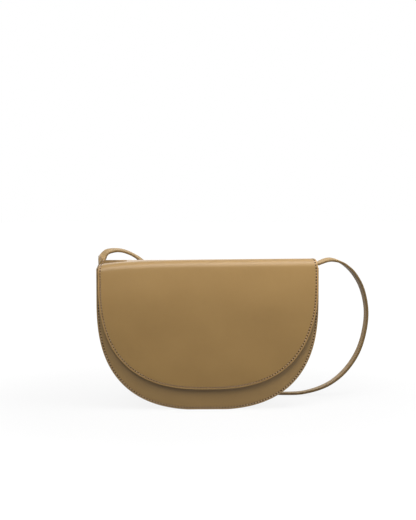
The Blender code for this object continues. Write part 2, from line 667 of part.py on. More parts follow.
def make_snap():
    """A magnetic snap under the flap: a socket riveted to the front panel and a stud to the flap."""
    edge = SNAP_EDGE
    socket_back = Vector((0, FRONT_FACE - CLEARANCE, SNAP_HEIGHT))
    socket_post = CLEARANCE + PANEL_THICKNESS + CLEARANCE + FRONT_WASHER_THICKNESS
    socket = [
        (0, SNAP_SOCKET_THICKNESS - SNAP_BORE_DEPTH),
        (SNAP_BORE_RADIUS, SNAP_SOCKET_THICKNESS - SNAP_BORE_DEPTH),
        (SNAP_BORE_RADIUS, SNAP_SOCKET_THICKNESS - edge),
        (SNAP_BORE_RADIUS + edge, SNAP_SOCKET_THICKNESS),
        (SNAP_RADIUS - edge, SNAP_SOCKET_THICKNESS),
        (SNAP_RADIUS, SNAP_SOCKET_THICKNESS - edge),
        (SNAP_RADIUS, 0),
        (SNAP_POST_RADIUS, 0),
        (SNAP_POST_RADIUS, -socket_post),
        (0, -socket_post),
    ]
    turned("snap_socket", socket, socket_back, ALONG_FRONT, GOLD)

    stud_back = Vector((0, -HALF_DEPTH + FLAP_TOTAL + CLEARANCE, SNAP_HEIGHT))
    stud_post = CLEARANCE + FLAP_LINING - FLAP_BOARD_THICKNESS - CLEARANCE
    stud = [
        (0, SNAP_STUD_THICKNESS + SNAP_BOSS_LENGTH),
        (SNAP_BOSS_TIP_RADIUS, SNAP_STUD_THICKNESS + SNAP_BOSS_LENGTH),
        (SNAP_BOSS_RADIUS, SNAP_STUD_THICKNESS),
        (SNAP_RADIUS - edge, SNAP_STUD_THICKNESS),
        (SNAP_RADIUS, SNAP_STUD_THICKNESS - edge),
        (SNAP_RADIUS, 0),
        (SNAP_POST_RADIUS, 0),
        (SNAP_POST_RADIUS, -stud_post),
        (0, -stud_post),
    ]
    turned("snap_stud", stud, stud_back, ALONG_BACK, GOLD)

    for name, middle, thickness in (
        ("snap_socket_washer", FRONT_FACE + BOARD_PLANE + FRONT_WASHER_THICKNESS / 2, FRONT_WASHER_THICKNESS),
        (
            "snap_stud_washer",
            -HALF_DEPTH + FLAP_LEATHER + 2 * CLEARANCE + FLAP_WASHER_THICKNESS / 2,
            FLAP_WASHER_THICKNESS,
        ),
    ):
        rings = [
            circle_outline(WASHER_RADIUS, SNAP_HEIGHT),
            circle_outline(SNAP_POST_RADIUS + CLEARANCE, SNAP_HEIGHT),
        ]
        slab(name, rings, thickness, FACING_FRONT, Vector((0, middle, 0)), STEEL)


def smooth_route(route, spacing, turn_step):
    """Points on a smooth curve through the route's own points (a centripetal Catmull-Rom curve), closer
    together where it turns sharply, and the direction of the strap's width at each."""
    known = [Vector(place) * MILLIMETRE for place, _ in route]
    widths = [Vector(width).normalized() for _, width in route]
    known = [2 * known[0] - known[1], *known, 2 * known[-1] - known[-2]]
    widths = [widths[0], *widths, widths[-1]]
    points, directions = [], []
    for index in range(1, len(known) - 2):
        near = known[index - 1 : index + 3]
        times = [0.0]
        for first, second in zip(near, near[1:]):
            times.append(times[-1] + math.sqrt((second - first).length))
        turned = (near[2] - near[0]).angle(near[3] - near[1])
        steps = max(1, round((near[2] - near[1]).length / spacing), round(turned / turn_step))
        last = index == len(known) - 3
        for step in range(steps + last):
            at = times[1] + (times[2] - times[1]) * step / steps
            points.append(curve_point(near, times, at))
            share = step / steps
            directions.append(widths[index].lerp(widths[index + 1], share))
    return points, directions


def curve_point(near, times, at):
    """The point at a time on the curve through four timed points."""

    def mix(first, second, start, end):
        return first.lerp(second, (at - start) / (end - start))

    legs = [mix(near[i], near[i + 1], times[i], times[i + 1]) for i in range(3)]
    arcs = [mix(legs[i], legs[i + 1], times[i], times[i + 2]) for i in range(2)]
    return mix(arcs[0], arcs[1], times[1], times[2])


def make_strap():
    """The strap: its two ends sewn inside the gusset's tops, and its free length."""
    tab_side = BODY_HALF_WIDTH - GUSSET_THICKNESS - CLEARANCE - STRAP_THICKNESS / 2
    for side, name in ((-1, "strap_end_left"), (1, "strap_end_right")):
        bottom = BODY_TOP - STRAP_TAB_LENGTH
        near = BODY_MIDDLE - STRAP_WIDTH / 2
        far = BODY_MIDDLE + STRAP_WIDTH / 2
        tab = [(near, bottom), (far, bottom), (far, BODY_TOP), (near, BODY_TOP)]
        slab(name, [tab], STRAP_THICKNESS, FACING_SIDE, Vector((side * tab_side, 0, 0)), STRAP_LEATHER)

    points, widths = smooth_route(STRAP_ROUTE, STRAP_SPACING, STRAP_TURN_STEP)
    ribbon = bmesh.new()
    bmesh.ops.create_grid(ribbon, x_segments=len(points) - 1, y_segments=1, size=1)
    ribbon.verts.ensure_lookup_table()
    for index, vertex in enumerate(ribbon.verts):
        row, column = divmod(index, len(points))
        across = widths[column]
        if 0 < column < len(points) - 1:
            along = (points[column + 1] - points[column - 1]).normalized()
            across = (across - across.dot(along) * along).normalized()
        vertex.co = points[column] + (row - 1 / 2) * STRAP_WIDTH * across
    mesh = bpy.data.meshes.new("strap")
    ribbon.to_mesh(mesh)
    ribbon.free()
    strap = add_object("strap", mesh, STRAP_LEATHER)
    wall = strap.modifiers.new("wall", "SOLIDIFY")
    wall.thickness = STRAP_THICKNESS
    wall.offset = 0


FLAP_TOP_PIECES = ("flap_top", "flap_top_lining")
FLAP_FRONT_PIECES = (
    "flap_front",
    "flap_front_lining",
    "flap_stiffener",
    "snap_stud",
    "snap_stud_washer",
)


def pivot(name, place, parent):
    """An empty that stands on the middle of a joint's axis, or at the origin for the bag itself."""
    made = bpy.data.objects.new(name, None)
    made.empty_display_size = FLAP_HALF_WIDTH
    bag.objects.link(made)
    made.location = place
    if parent:
        made.location = place - parent.matrix_world.translation
        made.parent = parent
    bpy.context.view_layer.update()
    return made


def hang_on(pivot_empty, pieces):
    for piece in pieces:
        piece.parent = pivot_empty
        piece.matrix_parent_inverse = pivot_empty.matrix_world.inverted()


def make_joints():
    """The bag's fixed pieces on one empty, and the flap's two parts each on the fold that they turn on."""
    meshes = [piece for piece in bag.objects if piece.type == "MESH"]
    body = pivot("bag_body", Vector((0, 0, 0)), None)
    rear = pivot("rear_fold", Vector((0, *REAR_FOLD_AXIS)), body)
    front = pivot("front_fold", Vector((0, *FRONT_FOLD_AXIS)), rear)
    moving = FLAP_TOP_PIECES + FLAP_FRONT_PIECES
    hang_on(body, [piece for piece in meshes if piece.name not in moving])
    hang_on(rear, [piece for piece in meshes if piece.name in FLAP_TOP_PIECES])
    hang_on(front, [piece for piece in meshes if piece.name in FLAP_FRONT_PIECES])


clear_scene()
bag = new_collection("half_moon_bag")
cutters = new_collection("cutters")
cutters.hide_render = True
make_body()
make_lining()
make_flap()
make_snap()
make_strap()
make_joints()
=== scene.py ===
"""Half moon shoulder bag: its leathers, linings, thread and metal, over the solids of the part.

Everything is in metres, in the part's own frame: the bag's front faces -Y and it stands on Z = 0.
"""

import math

import bmesh
import bpy
from mathutils import Matrix, Vector
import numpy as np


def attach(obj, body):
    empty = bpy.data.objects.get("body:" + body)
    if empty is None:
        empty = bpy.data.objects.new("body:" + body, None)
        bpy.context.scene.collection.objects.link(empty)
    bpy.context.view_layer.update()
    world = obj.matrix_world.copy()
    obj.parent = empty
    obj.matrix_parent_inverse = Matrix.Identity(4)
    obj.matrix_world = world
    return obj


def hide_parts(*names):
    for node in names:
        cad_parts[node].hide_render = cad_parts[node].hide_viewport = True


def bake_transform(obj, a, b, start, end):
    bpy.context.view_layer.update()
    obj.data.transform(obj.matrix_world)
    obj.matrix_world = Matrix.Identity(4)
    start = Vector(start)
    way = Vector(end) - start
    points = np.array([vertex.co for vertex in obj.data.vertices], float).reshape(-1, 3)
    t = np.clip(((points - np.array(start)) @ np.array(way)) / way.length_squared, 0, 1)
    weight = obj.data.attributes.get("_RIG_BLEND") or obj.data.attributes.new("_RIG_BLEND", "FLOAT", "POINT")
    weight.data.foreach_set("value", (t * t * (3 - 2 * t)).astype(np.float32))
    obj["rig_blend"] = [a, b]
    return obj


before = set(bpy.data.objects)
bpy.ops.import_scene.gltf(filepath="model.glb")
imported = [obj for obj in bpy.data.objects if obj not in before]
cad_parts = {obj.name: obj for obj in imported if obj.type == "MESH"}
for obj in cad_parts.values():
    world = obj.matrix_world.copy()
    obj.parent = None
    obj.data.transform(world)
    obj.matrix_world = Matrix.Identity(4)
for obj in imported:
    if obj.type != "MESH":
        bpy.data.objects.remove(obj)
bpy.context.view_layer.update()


# ----------------------------------------------------------- the camera
# A long lens a little above the bag and to its left, about a metre and a half away. The sensor's
# long side is the picture's height.
LOOKED_AT = Vector((0, -0.030, 0.163))
CAMERA_AWAY = 1.600
CAMERA_RAISED = math.radians(4.3)
CAMERA_TO_LEFT = math.radians(2.0)
LENS_IN_MM = 103.3
SENSOR_IN_MM = 36

looking = Vector((math.sin(CAMERA_TO_LEFT), math.cos(CAMERA_TO_LEFT), -math.tan(CAMERA_RAISED))).normalized()
camera = bpy.data.objects.new("camera", bpy.data.cameras.new("camera"))
bpy.context.scene.collection.objects.link(camera)
camera.location = LOOKED_AT - CAMERA_AWAY * looking
camera.rotation_euler = looking.to_track_quat("-Z", "Y").to_euler()
camera.data.lens = LENS_IN_MM
camera.data.sensor_width = SENSOR_IN_MM
bpy.context.scene.camera = camera


# --------------------------------------------------- the shoulder strap
# A long flat strap: two layers of smooth leather glued back to back, cut to 10 mm and painted along
# its edges. It leaves the tops of the gusset, and what the bag hides of it lies folded behind it.
STRAP_WIDTH = 0.010
STRAP_THICKNESS = 0.0026
STRAP_STEP = 0.0025
STRAP_EDGE_RADIUS = 0.0007
STRAP_FACE_IN = 0.0016
STRAP_PAINT_IN = 0.0003
WELD = 0.000002
MILLIMETRE = 0.001
# Each place on the strap's middle line, in millimetres, and the direction of its width there
STRAP_ROUTE = [
    (-117.1, 2.35, 153.8, 0, -1, 0), (-117.1, 2.4, 155.2, 0, -1, 0.02),
    (-117.3, 4.2, 158, 0, -0.85, 0.5), (-117.5, 8.6, 159.6, 0, -0.4, 0.92),
    (-117.6, 15, 159.7, 0, -0.05, 1), (-117.6, 22, 159.4, 0, 0, 1),
    (-117.5, 29, 157.8, 0.05, 0.1, 1), (-117, 35, 158, 0.05, 0.4, 0.9),
    (-114.5, 40.5, 162.8, -0.05, 0.8, 0.55), (-110.5, 43.5, 166.8, -0.25, 0.9, 0.38),
    (-106, 45, 168.1, -0.15, 0.95, 0.3), (-100.4, 46.5, 168.6, -0.05, 0.98, 0.2),
    (-94.8, 47, 168.2, 0, 1, 0.15), (-88, 46.5, 166.3, 0.05, 1, 0.1),
    (-81.1, 45.5, 163.2, 0.1, 1, 0.05), (-74.3, 44, 158.9, 0.2, 1, 0.05),
    (-69.8, 42, 154.2, 0.35, 0.9, 0.1), (-66.5, 38.5, 144, 0.7, 0.6, 0.1),
    (-66, 35.5, 127, 1, 0.2, 0.1), (-67, 34, 102, 1, 0, 0),
    (-69, 35, 76, 1, 0, 0), (-70.5, 39, 50, 1, 0, -0.05),
    (-72.6, 47.5, 28, 0.9, 0.1, -0.3), (-75, 62.5, 14.4, 0.75, 0.3, -0.6),
    (-77, 83, 7.8, 0.4, 0.1, -0.9), (-77.5, 108, 5.6, 0, 0, -1),
    (-72, 132, 5.3, 0, 0, -1), (-54, 150, 5.3, 0, 0, -1),
    (-22, 159, 5.3, 0, 0, -1), (12, 160, 5.3, 0, 0, -1),
    (50, 157, 5.3, 0, 0, -1), (75, 145, 5.3, 0, 0, -1),
    (79, 124, 5.3, 0, 0, -1), (58, 111.5, 5.3, 0, 0, -1),
    (18, 111, 5.3, 0, 0, -1), (-22, 112, 5.3, 0, 0, -1),
    (-49, 104, 5.3, 0, 0, -1), (-54, 85, 5.3, 0, 0, -1),
    (-36, 70, 5.3, 0, 0, -1), (-2, 65.5, 5.3, 0, 0.15, -1),
    (32, 66, 4.9, 0, 0.6, -0.8), (60, 67, 3.4, 0, 1, -0.4),
    (88, 66.5, 2.2, 0, 1, 0), (114, 65.5, 3.6, 0, 1, 0.03),
    (140, 64, 12.6, -0.08, 1, 0.1), (159, 62, 28, -0.15, 0.95, 0.12),
    (173.4, 59, 50, -0.2, 0.95, 0.1), (180.6, 55, 75, -0.2, 0.95, 0.05),
    (181.8, 49, 100, -0.2, 0.95, 0), (175, 39, 126.5, -0.2, 0.95, -0.1),
    (163.6, 28.2, 144.6, -0.2, 0.97, -0.1), (153.3, 20.3, 153.8, -0.15, 1, -0.05),
    (148.6, 17.2, 156.6, -0.1, 1, 0), (143.7, 14, 158.7, -0.05, 1, 0.06),
    (136.5, 9.5, 160.1, 0, 1, 0.16), (130.6, 6.5, 159.5, 0, 1, 0.22),
    (125.4, 4.6, 157.8, 0, 1, 0.24), (121.4, 3.4, 156.1, 0, 1, 0.12),
    (118.7, 2.7, 155.9, 0, 1, 0), (117.3, 2.4, 155, 0, 1, 0),
    (117.1, 2.35, 153.8, 0, 1, 0),
]


def linear(code):
    """The linear colour of an sRGB hex value."""
    shares = [int(code[at : at + 2], 16) / 255 for at in (1, 3, 5)]
    return (*[s / 12.92 if s <= 0.04045 else ((s + 0.055) / 1.055) ** 2.4 for s in shares], 1)


def add(tree, kind, inputs=None, **settings):
    """A node of that kind with its settings. Each input is a value or another node's output."""
    made = tree.nodes.new(kind)
    for name, value in settings.items():
        setattr(made, name, value)
    for name, value in (inputs or {}).items():
        if isinstance(value, bpy.types.NodeSocket):
            tree.links.new(value, made.inputs[name])
        else:
            made.inputs[name].default_value = value
    return made


def mixed(tree, share, low, high):
    """A colour between two, which are hex values or other nodes' outputs."""
    low, high = [linear(each) if isinstance(each, str) else each for each in (low, high)]
    return add(tree, "ShaderNodeMix", {"Factor": share, 6: low, 7: high}, data_type="RGBA").outputs[2]


def ranged(tree, value, start=0.0, end=1.0, low=0.0, high=1.0, **settings):
    """A value brought from the range between start and end into the one between low and high."""
    ends = {"From Min": start, "From Max": end, "To Min": low, "To Max": high}
    return add(tree, "ShaderNodeMapRange", {"Value": value, **ends}, **settings).outputs[0]


def computed(tree, operation, *values):
    """What a mathematical operation makes of its values."""
    return add(tree, "ShaderNodeMath", dict(enumerate(values)), operation=operation).outputs[0]


def noise(tree, place, size, detail):
    """Soft random clouds about that many metres wide."""
    return add(tree, "ShaderNodeTexNoise", {"Vector": place, "Scale": 1 / size, "Detail": detail}).outputs["Fac"]


def bumped(tree, height, strength, depth, **below):
    """The normal of a surface with that relief, over another normal where one is given."""
    relief = {"Height": height, "Strength": strength, "Distance": depth, **below}
    return add(tree, "ShaderNodeBump", relief).outputs[0]


def finish(name, **sockets):
    """A new material and its tree and shader, with the values that are the same all over it."""
    made = bpy.data.materials.new(name)
    made.use_nodes = True
    shader = made.node_tree.nodes["Principled BSDF"]
    for socket, value in sockets.items():
        shader.inputs[socket.replace("_", " ")].default_value = value
    return made, made.node_tree, shader


def drive(tree, shader, **outputs):
    """Links the shader's inputs to other nodes' outputs."""
    for socket, output in outputs.items():
        tree.links.new(output, shader.inputs[socket.replace("_", " ")])


def mottled(name, dark, light, size, detail, dull=None, relief=None, **sockets):
    """A finish in two tones that lie over it in clouds of one size. Dull is the range of its roughness,
    and relief the strength and depth of its bump, where the clouds change them."""
    made, tree, shader = finish(name, **sockets)
    cloud = noise(tree, add(tree, "ShaderNodeTexCoord").outputs["Object"], size, detail)
    drive(tree, shader, Base_Color=mixed(tree, cloud, dark, light))
    if dull:
        drive(tree, shader, Roughness=ranged(tree, cloud, low=dull[0], high=dull[1]))
    if relief:
        drive(tree, shader, Normal=bumped(tree, cloud, *relief))
    return made


def smooth_leather(name, light, dark, edge, edge_width, roughness, relief=0.0001, fullness=(0, 1, 0), coat=0.8):
    """Full-grain calf leather, aniline dyed and lightly glazed: an even tone that drifts a little over
    the hide, a soft broad highlight, pores that only show in it, and a border in its own colour: a
    darker border is the edge tool's rub, and a lighter one a painted highlight on the rounded edge.
    The pores are drawn at 1.2 mm, coarser than the real 0.3 mm, so that they show at all, and relief
    is their depth. Fullness is a soft swelling between two heights on the flat piece, and its drop.
    Coat is the glaze. Where the attribute for painted shade rises, from 0 to 1, the colour darkens towards a deep
    brown as painted shade, and the leather dulls."""
    drift_size, cloud_size, pore_size, swell_size = 0.060, 0.006, 0.0012, 0.050
    made, tree, shader = finish(name, IOR=1.47, Specular_IOR_Level=0.35, Coat_Weight=coat, Coat_Roughness=0.44)
    flat = add(tree, "ShaderNodeUVMap", uv_map="cut").outputs["UV"]
    up = add(tree, "ShaderNodeSeparateXYZ", {"Vector": flat}).outputs["Y"]
    border, painted_shade = [
        add(tree, "ShaderNodeAttribute", attribute_name=each).outputs["Fac"] for each in ("to_edge", "painted_shade")
    ]
    cloud = noise(tree, flat, cloud_size, 4.0)
    tone = computed(tree, "MULTIPLY_ADD", noise(tree, flat, drift_size, 2.0), 4.0, cloud)
    hide = mixed(tree, ranged(tree, tone, 1.6, 3.4), dark, light)
    # The border's own colour: where it is darker it is the edge tool's rub, where lighter a painted highlight
    hide_with_border_wear_and_highlight = mixed(tree, ranged(tree, border, edge_width * 1.3, edge_width * 0.7), hide, edge)
    gloss = ranged(tree, cloud, low=roughness - 0.04, high=roughness + 0.06)
    pores = add(tree, "ShaderNodeTexVoronoi", {"Vector": flat, "Scale": 1 / pore_size}, feature="SMOOTH_F1")
    fine = bumped(tree, pores.outputs["Distance"], 0.3, relief)
    broad = bumped(tree, noise(tree, flat, swell_size, 1.0), 0.6, 0.0030, Normal=fine)
    full = ranged(tree, up, *fullness, 0.0, interpolation_type="SMOOTHERSTEP")
    # Painted shade: where the painted shade attribute rises, the colour darkens towards #3d2c18
    drive(
        tree,
        shader,
        Base_Color=mixed(tree, painted_shade, hide_with_border_wear_and_highlight, "#3d2c18"),
        Roughness=computed(tree, "MULTIPLY_ADD", painted_shade, 0.35, gloss),
        Normal=bumped(tree, full, 1.0, 1.0, Normal=broad),
    )
    return made


def eased(value, start, end):
    """From 0 at the start to 1 at the end, with soft ends."""
    share = max(0, min(1, (value - start) / (end - start)))
    return share * share * (3 - 2 * share)


def lengths_along(points):
    """How far along a line of points each of them lies."""
    lengths = [0.0]
    for before, after in zip(points, points[1:]):
        lengths.append(lengths[-1] + (after - before).length)
    return lengths


def curve_point(near, times, at):
    """The point at a time on the smooth curve through four timed points."""

    def between(first, second, start, end):
        return first.lerp(second, (at - start) / (end - start))

    legs = [between(near[i], near[i + 1], times[i], times[i + 1]) for i in range(3)]
    arcs = [between(legs[i], legs[i + 1], times[i], times[i + 2]) for i in range(2)]
    return between(arcs[0], arcs[1], times[1], times[2])


def strap_course():
    """Points along the strap's middle line, and the direction of its width at each."""
    known = [MILLIMETRE * Vector(row[:3]) for row in STRAP_ROUTE]
    turned = [Vector(row[3:]).normalized() for row in STRAP_ROUTE]
    known = [2 * known[0] - known[1], *known, 2 * known[-1] - known[-2]]
    turned = [turned[0], *turned, turned[-1]]
    points, widths = [], []
    for index in range(1, len(known) - 2):
        near = known[index - 1 : index + 3]
        times = [0.0]
        for first, second in zip(near, near[1:]):
            times.append(times[-1] + math.sqrt((second - first).length))
        steps = max(1, round((near[2] - near[1]).length / STRAP_STEP))
        last = index == len(known) - 3
        for step in range(steps + last):
            points.append(curve_point(near, times, times[1] + (times[2] - times[1]) * step / steps))
            widths.append(turned[index].lerp(turned[index + 1], eased(step, 0, steps)))
    for index in range(1, len(points) - 1):
        along = (points[index + 1] - points[index - 1]).normalized()
        widths[index] = (widths[index] - widths[index].dot(along) * along).normalized()
    return points, widths


def new_piece(name, sheet, *finishes):
    """A smooth-shaded object from a bmesh, with its materials."""
    mesh = bpy.data.meshes.new(name)
    for face in sheet.faces:
        face.smooth = True
    sheet.to_mesh(mesh)
    sheet.free()
    for each in finishes:
        mesh.materials.append(each)
    made = bpy.data.objects.new(name, mesh)
    bpy.context.scene.collection.objects.link(made)
    return made


def thicken(piece, thickness):
    """Gives a sheet its thickness, on the side away from its face."""
    wall = piece.modifiers.new("thickness", "SOLIDIFY")
    wall.thickness = thickness
    wall.offset = -1
    return wall


strap_leather = smooth_leather(
    "smooth_calf_strap", "#a2865a", "#997d52", "#8b7047", 0.0009, 0.55, relief=0.00003, coat=0.15
)
# Acrylic edge paint over a sanded leather edge: darker than the face, with a dull shine and a little
# unevenness along its length
strap_edge = mottled(
    "strap_edge_paint", "#755c37", "#8a7046", 0.004, 3.0, (0.38, 0.55), (0.4, 0.0002), IOR=1.5, Specular_IOR_Level=0.4
)

strap_points, strap_widths = strap_course()
strap_run = lengths_along(strap_points)
# The strap's section, once round: its corners are rounded off, and the last point closes it
strap_section = []
for quarter, (side, top) in enumerate(((1, 1), (-1, 1), (-1, -1), (1, -1))):
    corner = Vector((side * (STRAP_WIDTH / 2 - STRAP_EDGE_RADIUS), top * (STRAP_THICKNESS / 2 - STRAP_EDGE_RADIUS)))
    arc = [math.pi / 2 * (quarter + step / 3) for step in range(4)]
    arc = [corner + STRAP_EDGE_RADIUS * Vector((math.cos(turn), math.sin(turn))) for turn in arc]
    flat = [Vector((side * (STRAP_WIDTH / 2 - STRAP_FACE_IN), top * STRAP_THICKNESS / 2))]
    strap_section += [*arc, *flat] if side == top else [*flat, *arc]
strap_section.append(strap_section[0])
ribbon = bmesh.new()
bmesh.ops.create_grid(ribbon, x_segments=len(strap_points) - 1, y_segments=len(strap_section) - 1, size=1)
ribbon.verts.ensure_lookup_table()
to_edge = ribbon.verts.layers.float.new("to_edge")
cut = ribbon.loops.layers.uv.new("cut")
placed = {}
for index, vertex in enumerate(ribbon.verts):
    row, column = divmod(index, len(strap_points))
    aside, out = strap_section[row]
    along = strap_points[min(column + 1, len(strap_points) - 1)] - strap_points[max(column - 1, 0)]
    face = along.cross(strap_widths[column]).normalized()
    placed[vertex.index] = (strap_run[column], aside)
    vertex[to_edge] = STRAP_WIDTH / 2 - abs(aside)
    vertex.co = strap_points[column] + aside * strap_widths[column] + out * face
for face in ribbon.faces:
    for loop in face.loops:
        loop[cut].uv = placed[loop.vert.index]
    aside = sum(abs(placed[vertex.index][1]) for vertex in face.verts) / len(face.verts)
    face.material_index = aside > STRAP_WIDTH / 2 - STRAP_PAINT_IN
bmesh.ops.remove_doubles(ribbon, verts=ribbon.verts, dist=WELD)
bmesh.ops.holes_fill(ribbon, edges=[edge for edge in ribbon.edges if edge.is_boundary])
bmesh.ops.recalc_face_normals(ribbon, faces=ribbon.faces)
strap = new_piece("shoulder_strap", ribbon, strap_leather, strap_edge)
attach(strap, "bag")
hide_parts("strap")

# Its two ends, flat against the gusset's inside
TAB_LENGTH = 0.040
TAB_X = 0.1171
BODY_TOP = 0.1535
BODY_MIDDLE = 0.00245
for side, name, node in ((-1, "strap_tab_left", "strap_end_left"), (1, "strap_tab_right", "strap_end_right")):
    tab = bmesh.new()
    place = Matrix.Translation((side * TAB_X, BODY_MIDDLE, BODY_TOP - TAB_LENGTH / 2))
    size = Matrix.Diagonal((STRAP_THICKNESS, STRAP_WIDTH, TAB_LENGTH, 1))
    bmesh.ops.create_cube(tab, size=1, matrix=place @ size)
    bmesh.ops.bevel(
        tab, geom=tab.edges[:], offset=STRAP_EDGE_RADIUS, segments=3, profile=0.5, affect="EDGES", material=-1
    )
    to_edge = tab.verts.layers.float.new("to_edge")
    cut = tab.loops.layers.uv.new("cut")
    for vertex in tab.verts:
        vertex[to_edge] = STRAP_WIDTH / 2 - abs(vertex.co.y - BODY_MIDDLE)
    for face in tab.faces:
        for loop in face.loops:
            loop[cut].uv = (loop.vert.co.z, loop.vert.co.y)
    piece = new_piece(name, tab, strap_leather)
    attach(piece, "bag")
    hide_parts(node)


# ---------------------------------------------- front and back leathers
# Two half moons of 1.4 mm calf leather over stiffening board, stitched through near their edges to
# the gusset's turned-in flanges. The edges are rounded off, and the seam draws the leather in.
PANEL_THICKNESS = 0.0014
FRONT_FACE = -0.0235
BACK_FACE = 0.0284
BODY_HALF_WIDTH = 0.120
BODY_RISE = 0.121
BODY_CURVE = 0.12156
BODY_POWER = 2.61
BACK_TOP = 0.151
SEAM_IN = 0.0021
MOUTH_SEAM_IN = 0.0024
MOUTH_SEAM_END = 0.116
FRONT_CROWN = 0.0008
BACK_CROWN = 0.0014
CROWN_MIDDLE = 0.062
CROWN_REACH = 0.066
PANEL_NET = 0.010
NET_SNAP = 0.0001
MOON_STEPS = 60
SAME_PLACE = 0.00002
# How far the leather's face lies below its own plane, by its distance from the cut edge
EDGE_SHAPE = [
    (0.0, -0.00050), (0.0002, -0.00020), (0.0006, -0.00003), (0.0011, 0.0), (0.0016, -0.00008),
    (0.0021, -0.00028), (0.0026, -0.00014), (0.0034, -0.00002), (0.0060, 0.0), (0.0120, 0.0),
]


def moon(half_width, curve_height, power, rise, floor):
    """The lower outline of a half moon, from its left side at the height called rise, down and round to
    its right side, as (across, up). It is cut off level at the floor."""
    right = []
    for step in range(MOON_STEPS + 1):
        turn = math.pi / 2 * step / MOON_STEPS
        up = rise - curve_height * math.sin(turn) ** (2 / power)
        if up > floor + SAME_PLACE:
            right.append(Vector((half_width * math.cos(turn) ** (2 / power), up)))
    down = (rise - floor) / curve_height
    foot = half_width * max(1 - down**power, 0) ** (1 / power)
    right.append(Vector((foot, floor)))
    left = [Vector((-point.x, point.y)) for point in right if point.x > SAME_PLACE]
    return [*left, *reversed(right)]


def body_moon(top):
    """The whole outline of a body leather, the way the clock doesn't go."""
    lower = moon(BODY_HALF_WIDTH, BODY_CURVE, BODY_POWER, BODY_RISE, 0)
    return [Vector((-BODY_HALF_WIDTH, top)), *lower, Vector((BODY_HALF_WIDTH, top))]


def split_at(sheet, place, across, **options):
    """Cuts a sheet along a straight line. The options clear one side of it."""
    everything = [*sheet.verts, *sheet.edges, *sheet.faces]
    bmesh.ops.bisect_plane(sheet, geom=everything, plane_co=place, plane_no=across, **options)


def cut_sheet(outline, rings, columns, rows):
    """A flat piece as it is cut from the hide, with rings at distances in from its edge and a net of
    lines that lets it bend. The flat places are kept for the leather's pattern."""
    sheet = bmesh.new()
    bmesh.ops.create_circle(sheet, cap_ends=True, radius=1, segments=len(outline))
    sheet.verts.ensure_lookup_table()
    for vertex, point in zip(sheet.verts, outline):
        vertex.co = (point.x, point.y, 0)
    sheet.normal_update()
    inner = sheet.faces[:][0]
    if inner.normal.z < 0:
        bmesh.ops.reverse_faces(sheet, faces=[inner])
    to_edge = sheet.verts.layers.float.new("to_edge")
    reached = 0
    for ring in rings:
        bmesh.ops.inset_region(
            sheet, faces=[inner], thickness=ring - reached, use_boundary=True, use_even_offset=True
        )
        for vertex in inner.verts:
            vertex[to_edge] = ring
        reached = ring
    for direction, places in ((Vector((1, 0, 0)), columns), (Vector((0, 1, 0)), rows)):
        for place in places:
            split_at(sheet, direction * place, direction, dist=NET_SNAP)
    cut = sheet.loops.layers.uv.new("cut")
    for face in sheet.faces:
        for loop in face.loops:
            loop[cut].uv = loop.vert.co.xy
    return sheet


def rings_of(profile):
    """The distances from the edge at which a table of an edge's shape has its values."""
    return [distance for distance, _ in profile[1:]]


def read(table, at):
    """The value of a table of pairs at a place between them."""
    for (start, low), (end, high) in zip(table, table[1:]):
        if at <= end:
            return low + (high - low) * max(0, min(1, (at - start) / (end - start)))
    return table[-1][1]


def shaped(name, sheet, shape, profile, *finishes):
    """The cut sheet brought to its shape: a function of across, along and height over its face."""
    to_edge = sheet.verts.layers.float["to_edge"]
    for vertex in sheet.verts:
        vertex.co = shape(vertex.co.x, vertex.co.y, read(profile, vertex[to_edge]))
    return new_piece(name, sheet, *finishes)


def spread(start, end, step):
    """Evenly spaced places between two ends, which are left out."""
    count = max(1, round((end - start) / step))
    return [start + (end - start) * index / count for index in range(1, count)]


def leftward(points):
    """The direction to the left of a line of points, at each of them."""
    turned = []
    for index in range(len(points)):
        along = points[min(index + 1, len(points) - 1)] - points[max(index - 1, 0)]
        turned.append(Vector((-along.y, along.x)).normalized())
    return turned


def parallel(points, inset):
    """A line of points moved to its left by an inset."""
    return [point + left * inset for point, left in zip(points, leftward(points))]


def level(start, height):
    """A level line from one side to the same place on the other."""
    return [Vector((start, height)), Vector((-start, height))]


def walk(points, pitch):
    """Places evenly spaced along a line of points, with the direction of the line at each."""
    lengths = lengths_along(points)
    count = max(1, int(lengths[-1] / pitch))
    start = (lengths[-1] - pitch * (count - 1)) / 2
    index = 0
    found = []
    for number in range(count):
        at = start + pitch * number
        while lengths[index + 1] < at:
            index += 1
        first, second = points[index], points[index + 1]
        share = (at - lengths[index]) / (lengths[index + 1] - lengths[index])
        found.append((first.lerp(second, share), (second - first).normalized()))
    return found


# Width, depth and length. Both are drawn wider than real, so that they show at the photo's scale.
STITCH_SIZE = (0.00105, 0.000735, 0.0021)
HOLE_SIZE = (0.0016, 0.000576, 0.0018)
STITCH_PITCH = 0.0032
STITCH_AHEAD = 0.0004
STITCH_ABOVE = 0.0003


